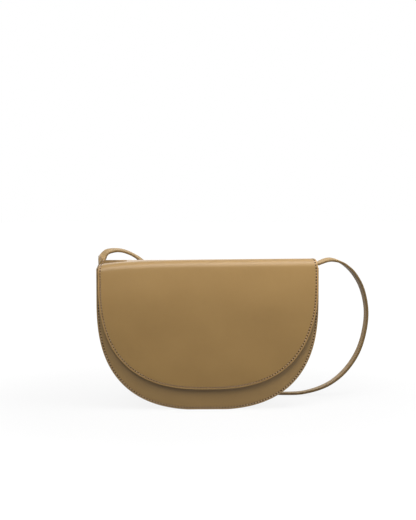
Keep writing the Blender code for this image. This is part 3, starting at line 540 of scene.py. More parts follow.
def sew(name, seams, lift=-0.00012):
    """One run of machine stitches for each seam: a line on a flat piece, and the shape it was given.
    A stitch is a short swollen length of thread, with a dark blob of painted shade for the needle hole between it and
    the next."""
    swollen, hole = bpy.data.meshes.new("swollen"), bpy.data.meshes.new("hole")
    for mesh, index in ((swollen, 0), (hole, 1)):
        ball = bmesh.new()
        bmesh.ops.create_uvsphere(ball, u_segments=6, v_segments=4, radius=0.5)
        for face in ball.faces:
            face.material_index = index
        ball.to_mesh(mesh)
        ball.free()
    thread = bmesh.new()
    for line, shape in seams:
        for number, (at, along) in enumerate(walk(line, STITCH_PITCH / 2)):
            mesh, size = (swollen, STITCH_SIZE) if number % 2 else (hole, HOLE_SIZE)
            ahead = at + along * STITCH_AHEAD
            centre = shape(at.x, at.y, lift)
            outward = (shape(at.x, at.y, lift + STITCH_ABOVE) - centre).normalized()
            forward = (shape(ahead.x, ahead.y, lift) - centre).normalized()
            turn = Matrix((forward.cross(outward), outward, forward)).transposed().to_4x4()
            one = mesh.copy()
            one.transform(Matrix.Translation(centre) @ turn @ Matrix.Diagonal((*size, 1)))
            thread.from_mesh(one)
            bpy.data.meshes.remove(one)
    for mesh in (swollen, hole):
        bpy.data.meshes.remove(mesh)
    return new_piece(name, thread, sewing_thread, needle_hole_painted_shade)


def crown(most, across, along):
    """How far a panel swells out below the mouth."""
    return most * (1 - (across / BODY_HALF_WIDTH) ** 2) * max(0, 1 - ((along - CROWN_MIDDLE) / CROWN_REACH) ** 2)


def front_shape(across, along, height):
    return Vector((across, FRONT_FACE - height - crown(FRONT_CROWN, across, along), along))


def back_shape(across, along, height):
    return Vector((-across, BACK_FACE + height + crown(BACK_CROWN, across, along), along))


# Its lighter edge colour is a painted highlight along the rounded cut edges
body_leather = smooth_leather("smooth_calf_body", "#8d6f3e", "#876938", "#947645", 0.0014, 0.52)
# Waxed, bonded nylon: a shade paler than the leather, with a soft shine. Its tone comes and goes
# along a seam, as its twist does, but in waves of 3.1 mm, which this scale gives, and not 0.5 mm.
sewing_thread, tree, shader = finish("bonded_nylon_thread", Sheen_Weight=0.2, Sheen_Roughness=0.4, Roughness=0.5)
place = add(tree, "ShaderNodeTexCoord").outputs["Object"]
twist = add(tree, "ShaderNodeTexWave", {"Vector": place, "Scale": 100, "Distortion": 1.0})
drive(tree, shader, Base_Color=mixed(tree, twist.outputs["Fac"], "#ab8c6c", "#c0a385"))
# Painted shade for the dark pinch where the needle went through: the leather's own colour as it looks deep in shade
needle_hole_painted_shade = mottled("needle_hole_painted_shade", "#21140a", "#352112", 0.002, 2.0, Specular_IOR_Level=0.1, Roughness=0.8)

for name, node, top, shape in (
    ("front_leather", "front_panel", BODY_TOP, front_shape),
    ("back_leather", "back_panel", BACK_TOP, back_shape),
):
    columns = spread(-BODY_HALF_WIDTH, BODY_HALF_WIDTH, PANEL_NET)
    sheet = cut_sheet(body_moon(top), rings_of(EDGE_SHAPE), columns, spread(0, top, PANEL_NET))
    piece = shaped(name, sheet, shape, EDGE_SHAPE, body_leather)
    thicken(piece, PANEL_THICKNESS)
    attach(piece, "bag")
    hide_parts(node)

body_seams = sew(
    "body_seams",
    [
        (parallel(body_moon(BODY_TOP), SEAM_IN), front_shape),
        (parallel(body_moon(BACK_TOP), SEAM_IN), back_shape),
        (level(MOUTH_SEAM_END, BODY_TOP - MOUTH_SEAM_IN), front_shape),
    ],
)
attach(body_seams, "bag")


# ----------------------------------------------------------- the gusset
# One long strip of 1.2 mm leather that runs down one side, under the base and up the other, with
# both its borders turned in behind the panels. It gives a little between them.
GUSSET_THICKNESS = 0.0012
GUSSET_PLANE = 0.02425
GUSSET_BEND = 0.0022
GUSSET_FLANGE = 0.0033
GUSSET_GIVE = 0.0009
GIVE_STARTS = 0.045
GIVE_GROWS_OVER = 0.05
GUSSET_NET = 0.005
BEND_NET = 0.0007
GUSSET_FLAT = GUSSET_PLANE - GUSSET_BEND
GUSSET_ARC = GUSSET_BEND * math.pi / 2
GUSSET_HALF = GUSSET_FLAT + GUSSET_ARC + GUSSET_FLANGE

gusset_line = body_moon(BODY_TOP)
gusset_run = lengths_along(gusset_line)
gusset_inward = leftward(gusset_line)
gusset_length = gusset_run[-1]


def round_the_body(along, inset, depth):
    """A place at a distance along the body's outline, in from it, and across its depth."""
    along = max(0, min(along, gusset_length))
    index = 0
    while index < len(gusset_run) - 2 and gusset_run[index + 1] < along:
        index += 1
    share = (along - gusset_run[index]) / (gusset_run[index + 1] - gusset_run[index])
    at = gusset_line[index].lerp(gusset_line[index + 1], share)
    inward = gusset_inward[index].lerp(gusset_inward[index + 1], share).normalized()
    place = at + inward * inset
    return Vector((place.x, BODY_MIDDLE + depth, place.y))


def gusset_shape(along, across, height):
    """The gusset round the body: flat across its middle, bent, and flat again along its flanges."""
    side = math.copysign(1, across)
    beyond = abs(across) - GUSSET_FLAT
    if beyond <= 0:
        end = min(along, gusset_length - along)
        give = GUSSET_GIVE * max(0, min(1, (end - GIVE_STARTS) / GIVE_GROWS_OVER)) * (1 - (across / GUSSET_FLAT) ** 2)
        return round_the_body(along, give - height, -across)
    if beyond < GUSSET_ARC:
        turn, radius = beyond / GUSSET_BEND, GUSSET_BEND + height
        inset, depth = GUSSET_BEND - radius * math.cos(turn), GUSSET_FLAT + radius * math.sin(turn)
        return round_the_body(along, inset, -side * depth)
    return round_the_body(along, GUSSET_BEND + beyond - GUSSET_ARC, -side * (GUSSET_PLANE + height))


def strip(half):
    """The outline of a strip as long as the gusset."""
    return [Vector(point) for point in ((0, -half), (gusset_length, -half), (gusset_length, half), (0, half))]


folds = [GUSSET_FLAT, *spread(GUSSET_FLAT, GUSSET_FLAT + GUSSET_ARC, BEND_NET), GUSSET_FLAT + GUSSET_ARC]
rows = [*[-place for place in folds], *spread(-GUSSET_FLAT, GUSSET_FLAT, GUSSET_NET), *folds]
sheet = cut_sheet(strip(GUSSET_HALF), [], gusset_run[1:-1], rows)
for vertex in sheet.verts:
    vertex[sheet.verts.layers.float["to_edge"]] = min(vertex.co.x, gusset_length - vertex.co.x)
gusset = shaped("gusset_leather", sheet, gusset_shape, [(0, 0), (1, 0)], body_leather)
thicken(gusset, GUSSET_THICKNESS)
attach(gusset, "bag")
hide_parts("gusset")

# A box of stitches holds each of the strap's ends
TAB_SEAM_HALF = 0.0031
TAB_SEAM_START = 0.004
TAB_SEAM_LENGTH = 0.030
seams = []
for start, reach in ((TAB_SEAM_START, TAB_SEAM_LENGTH), (gusset_length - TAB_SEAM_START, -TAB_SEAM_LENGTH)):
    end = start + reach
    ends = ((start, -TAB_SEAM_HALF), (end, -TAB_SEAM_HALF), (end, TAB_SEAM_HALF), (start, TAB_SEAM_HALF))
    box = [Vector(each) for each in ends]
    seams += [([first, second], gusset_shape) for first, second in zip(box, [*box[1:], box[0]])]
tab_seams = sew("strap_tab_seams", seams, lift=0.00006)
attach(tab_seams, "bag")


# ------------------------------------------------------------- the flap
# One piece of the same leather: sewn to the back near its top, over the mouth on two soft rolls, and
# down the front as a half moon. Its border is padded and stitched, and its left end droops.
FLAP_THICKNESS = 0.0013
FLAP_HALF_WIDTH = 0.1181
FLAP_TOP_HALF_WIDTH = 0.115
FLAP_RISE = 0.1412
FLAP_CURVE = 0.1189
FLAP_POWER = 2.58
FLAP_SEAM_IN = 0.0024
FLAP_SEAM_LIFT = -0.0001
HALF_DEPTH = 0.030
FRONT_ROLL = Vector((-0.021, 0.154))
FRONT_RADIUS = 0.009
REAR_ROLL = Vector((0.023, 0.151))
REAR_RADIUS = 0.007
STRIP_HEIGHT = 0.014
STRIP_CORNER = 0.006
CORNER_STEPS = 6
# How far the front lies back, its border is drawn in, its left end sags and its right border swells,
# with the heights on the flat piece between which each of these grows and fades
FLAP_LEAN = 0.0006
LEAN_GROWS = (0.085, 0.150)
LEAN_FADES_FROM = 0.152
FLAP_TUCK = 0.0008
TUCK_BORDER = (0.80, 1.0)
TUCK_FADES = (0.085, 0.135)
DROOP = 0.0048
DROOP_REACH = 0.028
DROOP_TILT = 0.0007
DROOP_GROWS = (0.105, 0.156)
DROOP_FADES_OVER = 0.010
FLAP_FULLER = 0.0010
FULLER_FROM = 0.060
FULLER_GROWS = (0.080, 0.115)
FULLER_FADES = (0.158, 0.175)
NARROWS_LEFT = (0.156, 0.180)
NARROWS_RIGHT = (0.148, 0.176)

roll_span = FRONT_ROLL - REAR_ROLL
tangent_turn = math.atan2(roll_span.y, roll_span.x) - math.acos((REAR_RADIUS - FRONT_RADIUS) / roll_span.length)
bridge = math.sqrt(roll_span.length**2 - (FRONT_RADIUS - REAR_RADIUS) ** 2)
FRONT_ROLL_END = FRONT_ROLL.y + FRONT_RADIUS * (math.pi - tangent_turn)
REAR_ROLL_START = FRONT_ROLL_END + bridge
REAR_ROLL_END = REAR_ROLL_START + REAR_RADIUS * tangent_turn
FLAP_END = REAR_ROLL_END + STRIP_HEIGHT
FLAP_MIDDLE = FRONT_ROLL_END + bridge / 2


def flap_shape(across, along, height):
    """The flap over its rolls. Along counts up the front as height does, then over the top and down."""
    if along < FRONT_ROLL.y:
        at, out = Vector((-HALF_DEPTH, along)), Vector((-1, 0))
    elif along < FRONT_ROLL_END:
        turn = math.pi - (along - FRONT_ROLL.y) / FRONT_RADIUS
        out = Vector((math.cos(turn), math.sin(turn)))
        at = FRONT_ROLL + FRONT_RADIUS * out
    elif along < REAR_ROLL_START:
        out = Vector((math.cos(tangent_turn), math.sin(tangent_turn)))
        share = (along - FRONT_ROLL_END) / bridge
        at = (FRONT_ROLL + FRONT_RADIUS * out).lerp(REAR_ROLL + REAR_RADIUS * out, share)
    elif along < REAR_ROLL_END:
        turn = tangent_turn - (along - REAR_ROLL_START) / REAR_RADIUS
        out = Vector((math.cos(turn), math.sin(turn)))
        at = REAR_ROLL + REAR_RADIUS * out
    else:
        at, out = Vector((HALF_DEPTH, REAR_ROLL.y - (along - REAR_ROLL_END))), Vector((1, 0))
    at = at + out * height
    at.x += FLAP_LEAN * eased(along, *LEAN_GROWS) * (1 - eased(along, LEAN_FADES_FROM, FRONT_ROLL_END))
    reach = (abs(across) / FLAP_HALF_WIDTH) ** FLAP_POWER + (max(0, FLAP_RISE - along) / FLAP_CURVE) ** FLAP_POWER
    at.x += FLAP_TUCK * eased(reach ** (1 / FLAP_POWER), *TUCK_BORDER) * (1 - eased(along, *TUCK_FADES))
    drop = DROOP * math.exp(-(across + FLAP_HALF_WIDTH) / DROOP_REACH) - DROOP_TILT * across / FLAP_HALF_WIDTH
    drop *= eased(along, *DROOP_GROWS) * (1 - eased(along, FRONT_ROLL_END, FRONT_ROLL_END + DROOP_FADES_OVER))
    fuller = FLAP_FULLER * eased(across, FULLER_FROM, FLAP_HALF_WIDTH)
    fuller *= eased(along, *FULLER_GROWS) * (1 - eased(along, *FULLER_FADES))
    return Vector((across + fuller, at.x, at.y - drop))


def flap_side(left):
    """Heights and half widths up one side of the flap, to the strip's corner."""
    corner = FLAP_END - STRIP_CORNER
    side = []
    for along in (FLAP_RISE, *spread(FLAP_RISE, corner, 0.003), corner):
        narrowed = eased(along, *(NARROWS_LEFT if left else NARROWS_RIGHT))
        side.append(Vector((FLAP_HALF_WIDTH + (FLAP_TOP_HALF_WIDTH - FLAP_HALF_WIDTH) * narrowed, along)))
    for step in range(1, CORNER_STEPS + 1):
        turn = math.pi / 2 * step / CORNER_STEPS
        half = FLAP_TOP_HALF_WIDTH - STRIP_CORNER + STRIP_CORNER * math.cos(turn)
        side.append(Vector((half, corner + STRIP_CORNER * math.sin(turn))))
    return [Vector((-point.x, point.y)) for point in reversed(side)] if left else side


def flap_outline():
    """The whole outline of the flap as it is cut."""
    lower = moon(FLAP_HALF_WIDTH, FLAP_CURVE, FLAP_POWER, FLAP_RISE, FLAP_RISE - FLAP_CURVE)
    return [*flap_side(True)[:-1], *lower, *flap_side(False)[1:]]


# Its lighter edge colour is a painted highlight where the padded, rounded border catches the light
flap_leather = smooth_leather(
    "smooth_calf_flap", "#93723a", "#8c6b33", "#a07b42", 0.0016, 0.50, fullness=(0.100, 0.205, 0.0095)
)
# The same leather, darker and without its glaze, as painted shade at the left end of the top, behind
# the front roll, where no reflection shows either. The shaded place's limits are across the flap, or
# heights past the front roll.
painted_shade_leather = smooth_leather("painted_shade_calf", "#8a6a36", "#82622f", "#8a6a36", 0.0016, 0.60, coat=0.0)
PAINTED_SHADE_END = -0.088
PAINTED_SHADE_BAND = (0.0005, 0.0125)
PAINTED_SHADE_MOST = 0.45
PAINTED_SHADE_FADES = (-0.104, -0.086)
PAINTED_SHADE_GROWS = (-0.001, 0.003)
PAINTED_SHADE_FADES_BEHIND = (0.010, 0.020)

# The net of lines is fine where the flap bends and droops, and wide where it is flat
NET_FOOT = 0.022
NET_FLAT_TO = 0.105
NET_SIDE = 0.118
NET_DROOP_TO = -0.078
bent_rows = [
    *spread(NET_FLAT_TO, FRONT_ROLL.y, 0.004),
    *spread(FRONT_ROLL.y, FRONT_ROLL_END, 0.0009),
    FRONT_ROLL_END,
    *spread(FRONT_ROLL_END, FRONT_ROLL_END + 0.0125, 0.0025),
    *spread(FRONT_ROLL_END + 0.010, REAR_ROLL_START, 0.0055),
    REAR_ROLL_START,
    *spread(REAR_ROLL_START, REAR_ROLL_END, 0.0009),
    REAR_ROLL_END,
    FLAP_END - 0.008,
]
flap_rows = [*spread(NET_FOOT, NET_FLAT_TO, 0.007), *bent_rows]
flap_columns = [*spread(-NET_SIDE, NET_DROOP_TO, 0.003), *spread(NET_DROOP_TO, NET_SIDE, 0.007)]
FLAP_EDGE_SHAPE = [
    (0.0, -0.00060), (0.0002, -0.00028), (0.0006, -0.00006), (0.0011, 0.00003), (0.0016, -0.00004),
    (0.0020, -0.00012), (0.0024, -0.00020), (0.0028, -0.00012), (0.0036, -0.00003), (0.0050, 0.0),
]
REAR_BEND = ((0, 0.0300, 0.1515), (0, 0.0235, 0.1580))
FRONT_BEND = ((0, -0.0205, 0.1600), (0, -0.0290, 0.1560))
for name, nodes, keep_front, bodies, bend in (
    ("flap_leather_back", ["flap_rear_strip"], False, ("bag", "flap_top_body"), REAR_BEND),
    ("flap_leather_front", ["flap_top", "flap_front"], True, ("flap_top_body", "flap_front_body"), FRONT_BEND),
):
    sheet = cut_sheet(flap_outline(), rings_of(FLAP_EDGE_SHAPE), flap_columns, flap_rows)
    split_at(sheet, (0, FLAP_MIDDLE, 0), (0, 1, 0), clear_outer=keep_front, clear_inner=not keep_front)
    # Painted shade behind the front roll at the flap's left end: how far the leather darkens there, and which faces
    # take the darker material
    painted_shade = sheet.verts.layers.float.new("painted_shade")
    for vertex in sheet.verts:
        past = vertex.co.y - FRONT_ROLL_END
        left_end = 1 - eased(vertex.co.x, *PAINTED_SHADE_FADES)
        behind = eased(past, *PAINTED_SHADE_GROWS) * (1 - eased(past, *PAINTED_SHADE_FADES_BEHIND))
        vertex[painted_shade] = PAINTED_SHADE_MOST * left_end * behind
    for face in sheet.faces:
        middle = face.calc_center_median()
        in_band = PAINTED_SHADE_BAND[0] < middle.y - FRONT_ROLL_END < PAINTED_SHADE_BAND[1]
        face.material_index = in_band and middle.x < PAINTED_SHADE_END
    piece = shaped(name, sheet, flap_shape, FLAP_EDGE_SHAPE, flap_leather, painted_shade_leather)
    thicken(piece, FLAP_THICKNESS)
    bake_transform(piece, *bodies, *bend)
    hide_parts(*nodes)

seam = parallel(flap_outline(), FLAP_SEAM_IN)
seam_front = [point for point in seam if point.y < FLAP_MIDDLE]
left_back = [point for point in seam if point.y >= FLAP_MIDDLE and point.x < 0]
right_back = [point for point in seam if point.y >= FLAP_MIDDLE and point.x > 0]
back_lines = (left_back, right_back, [right_back[-1], left_back[0]])
flap_seam_front = sew("flap_seam_front", [(seam_front, flap_shape)], lift=FLAP_SEAM_LIFT)
flap_seam_back = sew("flap_seam_back", [(line, flap_shape) for line in back_lines], lift=FLAP_SEAM_LIFT)
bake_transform(flap_seam_front, "flap_top_body", "flap_front_body", *FRONT_BEND)
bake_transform(flap_seam_back, "bag", "flap_top_body", *REAR_BEND)


# ---------------------------------------------------- the flap's lining
# Sueded pigskin glued under the flap and caught in its border seam. Inside the border it lies over
# the flap's thin board, whose outline shows as a soft step.
LINING_BORDER = 0.0075
LINING_STEP = 0.0018
LINING_SHAPE = [(0, -0.00134), (LINING_BORDER, -0.00134), (LINING_BORDER + LINING_STEP, -0.00234), (0.02, -0.00234)]
UNDER_FLAP_THICKNESS = 0.00154
UNDER_BORDER_THICKNESS = 0.00055
PAST_REAR_ROLL_START = 0.0020

# Sueded split leather: no highlight, a short soft nap that brightens at a glance, and cloudy patches
# where the nap lies another way. The nap is drawn at 0.8 mm, coarser than it is.
sueded, tree, shader = finish(
    "sueded_pigskin",
    Specular_IOR_Level=0.15,
    Sheen_Weight=0.35,
    Sheen_Roughness=0.55,
    Sheen_Tint=linear("#d8c39c"),
    Roughness=0.92,
)
flat = add(tree, "ShaderNodeUVMap", uv_map="cut").outputs["UV"]
nap = noise(tree, flat, 0.0008, 2.0)
tone = ranged(tree, computed(tree, "ADD", noise(tree, flat, 0.018, 5.0), nap), 0.7, 1.3)
drive(tree, shader, Base_Color=mixed(tree, tone, "#9d845c", "#b49a6f"), Normal=bumped(tree, nap, 0.6, 0.0003))

sheet = cut_sheet(
    flap_outline(),
    [0.0004, 0.0030, LINING_BORDER, LINING_BORDER + LINING_STEP],
    spread(-NET_SIDE, NET_SIDE, 0.008),
    [*spread(NET_FOOT, NET_FLAT_TO, 0.010), *bent_rows],
)
split_at(sheet, (0, REAR_ROLL_START + PAST_REAR_ROLL_START, 0), (0, 1, 0), clear_outer=True)
borders = [vertex[sheet.verts.layers.float["to_edge"]] for vertex in sheet.verts]
lining = shaped("flap_lining_sheet", sheet, flap_shape, LINING_SHAPE, sueded)
group = lining.vertex_groups.new(name="border")
for index, distance in enumerate(borders):
    group.add([index], 1 if distance <= LINING_BORDER else 0, "REPLACE")
wall = thicken(lining, UNDER_FLAP_THICKNESS)
wall.vertex_group = "border"
wall.thickness_vertex_group = UNDER_BORDER_THICKNESS / UNDER_FLAP_THICKNESS
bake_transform(lining, "flap_top_body", "flap_front_body", *FRONT_BEND)
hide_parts("flap_top_lining", "flap_front_lining")


# ---------------------------------------------------- inside of the bag
# Suede linings front, back and round the gusset, leather facings round the mouth and a leather slip
# pocket on the back. Facings and pocket are stitched along their free edges.
LINING_THICKNESS = 0.0008
FACING_THICKNESS = 0.0010
POCKET_THICKNESS = 0.0009
LINING_IN = 0.0032
LAYER_GAP = 0.0003
FACING_HEIGHT = 0.028
BODY_INSET = 0.0018
POCKET_HALF_WIDTH = 0.055
POCKET_HEIGHT = 0.064
POCKET_BELOW = 0.017
POCKET_CORNER = 0.012
FREE_SEAM_IN = 0.0021
FACING_SEAM_END = 0.115
POCKET_SEAM_END = 0.052
INNER_NET = 0.015
INNER_NET_TO = 0.153
facing_leather = smooth_leather("smooth_calf_facing", "#92764a", "#866a40", "#7d623c", 0.0010, 0.48)


def inner_moon(bottom, top):
    """The body's half moon drawn in behind the gusset, between two heights."""
    half = BODY_HALF_WIDTH - BODY_INSET
    if bottom > BODY_RISE:
        return [Vector(point) for point in ((-half, top), (-half, bottom), (half, bottom), (half, top))]
    lower = moon(half, BODY_CURVE - BODY_INSET, BODY_POWER, BODY_RISE, max(bottom, BODY_INSET))
    return [Vector((lower[0].x, top)), *lower, Vector((lower[-1].x, top))]


def inside_front(across, along, height):
    """A layer on the inside of the front, facing the back."""
    return Vector((-across, FRONT_FACE + LINING_IN + FACING_THICKNESS + height, along))


def inside_back(across, along, height):
    return Vector((across, BACK_FACE - LINING_IN - FACING_THICKNESS - height, along))


def on_back_lining(across, along, height):
    return inside_back(across, along, height + LINING_THICKNESS - FACING_THICKNESS + LAYER_GAP + POCKET_THICKNESS)


SOFT_EDGE = [(0, -0.0004), (0.0003, -0.0001), (0.0008, 0), (0.0016, 0), (0.0021, -0.0001), (0.0026, 0)]
EVEN_FACE = [(0, -0.0002), (1, -0.0002)]
front_seam = BODY_TOP - FACING_HEIGHT
back_seam = BACK_TOP - FACING_HEIGHT
pocket_top = back_seam - POCKET_BELOW
pocket_bottom = pocket_top - POCKET_HEIGHT
pocket_line = [Vector((-POCKET_HALF_WIDTH, pocket_top))]
for side in (-1, 1):
    for step in range(CORNER_STEPS + 1):
        turn = math.pi / 2 * (step if side < 0 else CORNER_STEPS - step) / CORNER_STEPS
        across = POCKET_HALF_WIDTH - POCKET_CORNER + POCKET_CORNER * math.cos(turn)
        pocket_line.append(Vector((side * across, pocket_bottom + POCKET_CORNER * (1 - math.sin(turn)))))
pocket_line.append(Vector((POCKET_HALF_WIDTH, pocket_top)))
as_lining = (LINING_THICKNESS, EVEN_FACE, [], sueded, "suede_lining")
as_leather = (SOFT_EDGE, rings_of(SOFT_EDGE), facing_leather, "tan_leather")
as_facing = (FACING_THICKNESS, *as_leather)
for name, node, outline, shape, (thickness, profile, rings, cover, slot) in (
    ("front_lining_sheet", "lining_front", inner_moon(0, front_seam - LAYER_GAP), inside_front, as_lining),
    ("back_lining_sheet", "lining_back", inner_moon(0, back_seam - LAYER_GAP), inside_back, as_lining),
    ("front_facing_leather", "front_facing", inner_moon(front_seam, BODY_TOP), inside_front, as_facing),
    ("back_facing_leather", "back_facing", inner_moon(back_seam, BACK_TOP), inside_back, as_facing),
    ("slip_pocket_leather", "slip_pocket", pocket_line, on_back_lining, (POCKET_THICKNESS, *as_leather)),
):
    sheet = cut_sheet(outline, rings, spread(-NET_SIDE, NET_SIDE, INNER_NET), spread(0, INNER_NET_TO, INNER_NET))
    piece = shaped(name, sheet, shape, profile, cover)
    thicken(piece, thickness)
    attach(piece, "bag")
    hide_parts(node)

# The gusset's lining lies clear of its leather, and clear of the strap's sewn ends
LINING_WALL_IN = GUSSET_THICKNESS + LINING_THICKNESS + 2 * LAYER_GAP
LINING_OVER_TAB = GUSSET_THICKNESS + STRAP_THICKNESS + 2 * LAYER_GAP
LINING_REACH = 0.0222
OVER_TAB_ALONG = (0.036, 0.050)
OVER_TAB_ACROSS = (0.0066, 0.0126)
TAB_NET_TO = 0.06


def side_lining_shape(along, across, height):
    """The gusset's lining, seen from inside, with a soft rise over the strap's sewn end."""
    end = min(along, gusset_length - along)
    over = (1 - eased(end, *OVER_TAB_ALONG)) * (1 - eased(abs(across), *OVER_TAB_ACROSS))
    rise = (LINING_OVER_TAB - LINING_WALL_IN) * over
    return round_the_body(along, LINING_WALL_IN + LINING_THICKNESS + rise + height, across)


ends = [*spread(0, TAB_NET_TO, 0.003), *spread(gusset_length - TAB_NET_TO, gusset_length, 0.003)]
rows = spread(-LINING_REACH, LINING_REACH, 0.002)
sheet = cut_sheet(strip(LINING_REACH), [], [*gusset_run[1:-1], *ends], rows)
side_lining = shaped("gusset_lining_sheet", sheet, side_lining_shape, [(0, 0), (1, 0)], sueded)
thicken(side_lining, LINING_THICKNESS)
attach(side_lining, "bag")
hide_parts("lining_gusset")

inner_seams = sew(
    "inner_seams",
    [
        (level(-FACING_SEAM_END, front_seam + FREE_SEAM_IN), inside_front),
        (level(-FACING_SEAM_END, BODY_TOP - MOUTH_SEAM_IN), inside_front),
        (level(-FACING_SEAM_END, back_seam + FREE_SEAM_IN), inside_back),
        (level(-FACING_SEAM_END, BACK_TOP - MOUTH_SEAM_IN), inside_back),
        (parallel(pocket_line, FREE_SEAM_IN), on_back_lining),
        (level(-POCKET_SEAM_END, pocket_top - FREE_SEAM_IN), on_back_lining),
    ],
)
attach(inner_seams, "bag")


# --------------------------------------------------- boards and washers
# Bonded leather board, cut flat, stiffens the panels, the base and the flap. It and the snap's washers
# are hidden between leather and lining, so the solids of the part stay, with their own finishes.

# Ground leather fibres pressed with latex: dull, grey-brown, with fibres and flecks a millimetre long
fibrous = {"relief": (0.5, 0.0002), "Specular_IOR_Level": 0.2, "Roughness": 0.9}
board = mottled("bonded_leather_board", "#6d6255", "#9a8e7c", 0.001, 6.0, **fibrous)
# Thin pressed washers, zinc plated: a cool grey with faint clouds from the plating bath
steel = mottled("zinc_plated_steel", "#a9aaab", "#c4c5c7", 0.003, 3.0, (0.28, 0.42), Metallic=1.0)

for cover, nodes in (
    (board, ("front_stiffener", "back_stiffener", "base_board", "flap_stiffener")),
    (steel, ("snap_socket_washer", "snap_stud_washer")),
):
    for node in nodes:
        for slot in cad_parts[node].material_slots:
            slot.material = cover


# ---------------------------------------------------- the magnetic snap
# A round two-part catch of pressed brass, plated pale gold: a cup with a magnet under its floor on
# the front leather, and a plate with a nose on the flap's lining. Each is bent over a washer behind.
SNAP_HEIGHT = 0.050
SNAP_GAP = 0.0003
SNAP_STEPS = 64
SNAP_SHARP = math.radians(35)
FLAP_LAYERS = 0.0029
# Pale gold plating over polished brass: bright, with fine wear marks that scatter the highlight
gold = mottled("pale_gold_plated_brass", "#c9a866", "#e2c98f", 0.0015, 5.0, (0.16, 0.32), Metallic=1.0)


def pressed(name, profile, start, facing, node, body):
    """A round metal part: its section of (radius, place along its axis) in millimetres, spun once round.
    Facing is 1 where its open side looks to the back, and -1 where it looks to the front."""
    part = bmesh.new()
    section = [(MILLIMETRE * radius, start + facing * MILLIMETRE * along, SNAP_HEIGHT) for radius, along in profile]
    corners = [part.verts.new(corner) for corner in section]
    for first, second in zip(corners, corners[1:]):
        part.edges.new((first, second))
    bmesh.ops.spin(
        part,
        geom=[*part.verts, *part.edges],
        cent=(0, 0, SNAP_HEIGHT),
        axis=(0, 1, 0),
        angle=2 * math.pi,
        steps=SNAP_STEPS,
        use_merge=True,
    )
    bmesh.ops.remove_doubles(part, verts=part.verts, dist=WELD)
    bmesh.ops.recalc_face_normals(part, faces=part.faces)
    made = new_piece(name, part, gold)
    made.data.set_sharp_from_angle(angle=SNAP_SHARP)
    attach(made, body)
    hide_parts(node)


SOCKET_PROFILE = [
    (0, 0.4), (4.2, 0.4), (4.5, 0.48), (4.6, 0.7), (4.6, 1.6), (4.7, 1.85), (5, 2), (8.4, 2), (8.8, 1.9),
    (9, 1.6), (9, 0.3), (8.8, 0), (2, 0), (2, -2.6), (0, -2.6),
]
STUD_PROFILE = [
    (0, 2.3), (2.4, 2.3), (2.6, 2.1), (3.3, 1), (8.4, 1), (8.8, 0.88), (9, 0.6), (9, 0.2), (8.8, 0), (2, 0),
    (2, -0.9), (0, -0.9),
]
pressed("snap_cup", SOCKET_PROFILE, FRONT_FACE - SNAP_GAP, -1, "snap_socket", "bag")
pressed("snap_nose_plate", STUD_PROFILE, -HALF_DEPTH + FLAP_LAYERS + SNAP_GAP, 1, "snap_stud", "flap_front_body")


# ----------------------------------------------------- floor and lights
# A pale table that keeps the bag's shadow and runs out into white, a soft light close above, weaker
# ones in front, low at the right, at the right side and behind, and a white surround that the camera
# and the gloss see.
TABLE_REACH = 4
TABLE_CLOUDS = 0.4
PALE_WITHIN, WHITE_BEYOND = 0.15, 0.55


def seen_white(tree):
    """1 for the rays by which the camera, gloss and glass see a white ground, and 0 for the light that
    it sheds."""
    path = add(tree, "ShaderNodeLightPath").outputs
    gloss = computed(tree, "MAXIMUM", path["Is Camera Ray"], path["Is Glossy Ray"])
    return computed(tree, "MAXIMUM", gloss, path["Is Transmission Ray"])


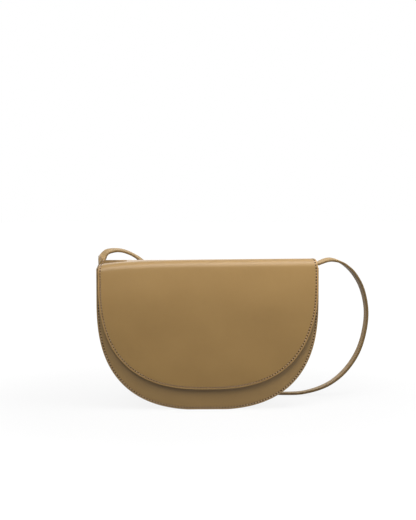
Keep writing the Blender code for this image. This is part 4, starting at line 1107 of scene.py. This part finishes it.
# Matt paint without any shine. Its grey is deep because the table glows as well: the glow makes it
# white to the eye and the shadow on it pale.
table, tree, shader = finish("matt_white_table", Specular_IOR_Level=0.0, Roughness=0.9, Emission_Color=(1, 1, 1, 1))
place = add(tree, "ShaderNodeTexCoord").outputs["Object"]
away = add(tree, "ShaderNodeVectorMath", {0: place}, operation="LENGTH").outputs["Value"]
sweep = ranged(tree, away, PALE_WITHIN, WHITE_BEYOND, 0.88, 1.0, interpolation_type="SMOOTHSTEP")
drive(
    tree,
    shader,
    Base_Color=mixed(tree, noise(tree, place, TABLE_CLOUDS, 2.0), "#4e4e4e", "#545454"),
    Emission_Strength=computed(tree, "MULTIPLY", sweep, seen_white(tree)),
)
floor_sheet = bmesh.new()
bmesh.ops.create_grid(floor_sheet, x_segments=1, y_segments=1, size=TABLE_REACH)
floor = new_piece("table_top", floor_sheet, table)

# The surround sheds more light from high up than from the sides
world = bpy.data.worlds.new("soft_surround")
world.use_nodes = True
bpy.context.scene.world = world
tree = world.node_tree
tree.nodes.clear()
outward = add(tree, "ShaderNodeTexCoord").outputs["Generated"]
up = add(tree, "ShaderNodeSeparateXYZ", {"Vector": outward}).outputs["Z"]
strength = ranged(tree, seen_white(tree), low=ranged(tree, up, 0.0, 0.8, 0.08, 0.35), high=1.0)
surround = add(tree, "ShaderNodeBackground", {"Color": (1, 1, 1, 1), "Strength": strength})
add(tree, "ShaderNodeOutputWorld", {"Surface": surround.outputs[0]})

# Each soft light's place and aim, its two sides, and its power in watts
for name, place, aim, size, power in (
    ("softbox_above", (0.14, -0.20, 0.60), (0.03, -0.03, 0.12), (0.60, 0.30), 2.9),
    ("softbox_front", (-0.40, -1.00, 1.02), (0, 0, 0.12), (0.6, 0.6), 7.6),
    ("softbox_low", (0.30, -1.10, 0.34), (0.09, 0, 0.10), (0.3, 0.25), 0.50),
    ("softbox_right", (0.60, -0.34, 0.36), (0.1, 0, 0.12), (0.3, 0.4), 1.2),
    ("softbox_behind", (-0.40, 1.10, 0.90), (0, 0, 0.10), (0.9, 0.9), 3.0),
):
    lamp = bpy.data.objects.new(name, bpy.data.lights.new(name, "AREA"))
    bpy.context.scene.collection.objects.link(lamp)
    lamp.data.shape = "RECTANGLE"
    lamp.data.size, lamp.data.size_y = size
    lamp.data.energy = power
    lamp.location = place
    lamp.rotation_euler = (Vector(aim) - Vector(place)).to_track_quat("-Z", "Y").to_euler()
bpy.context.scene.view_settings.view_transform = "Standard"
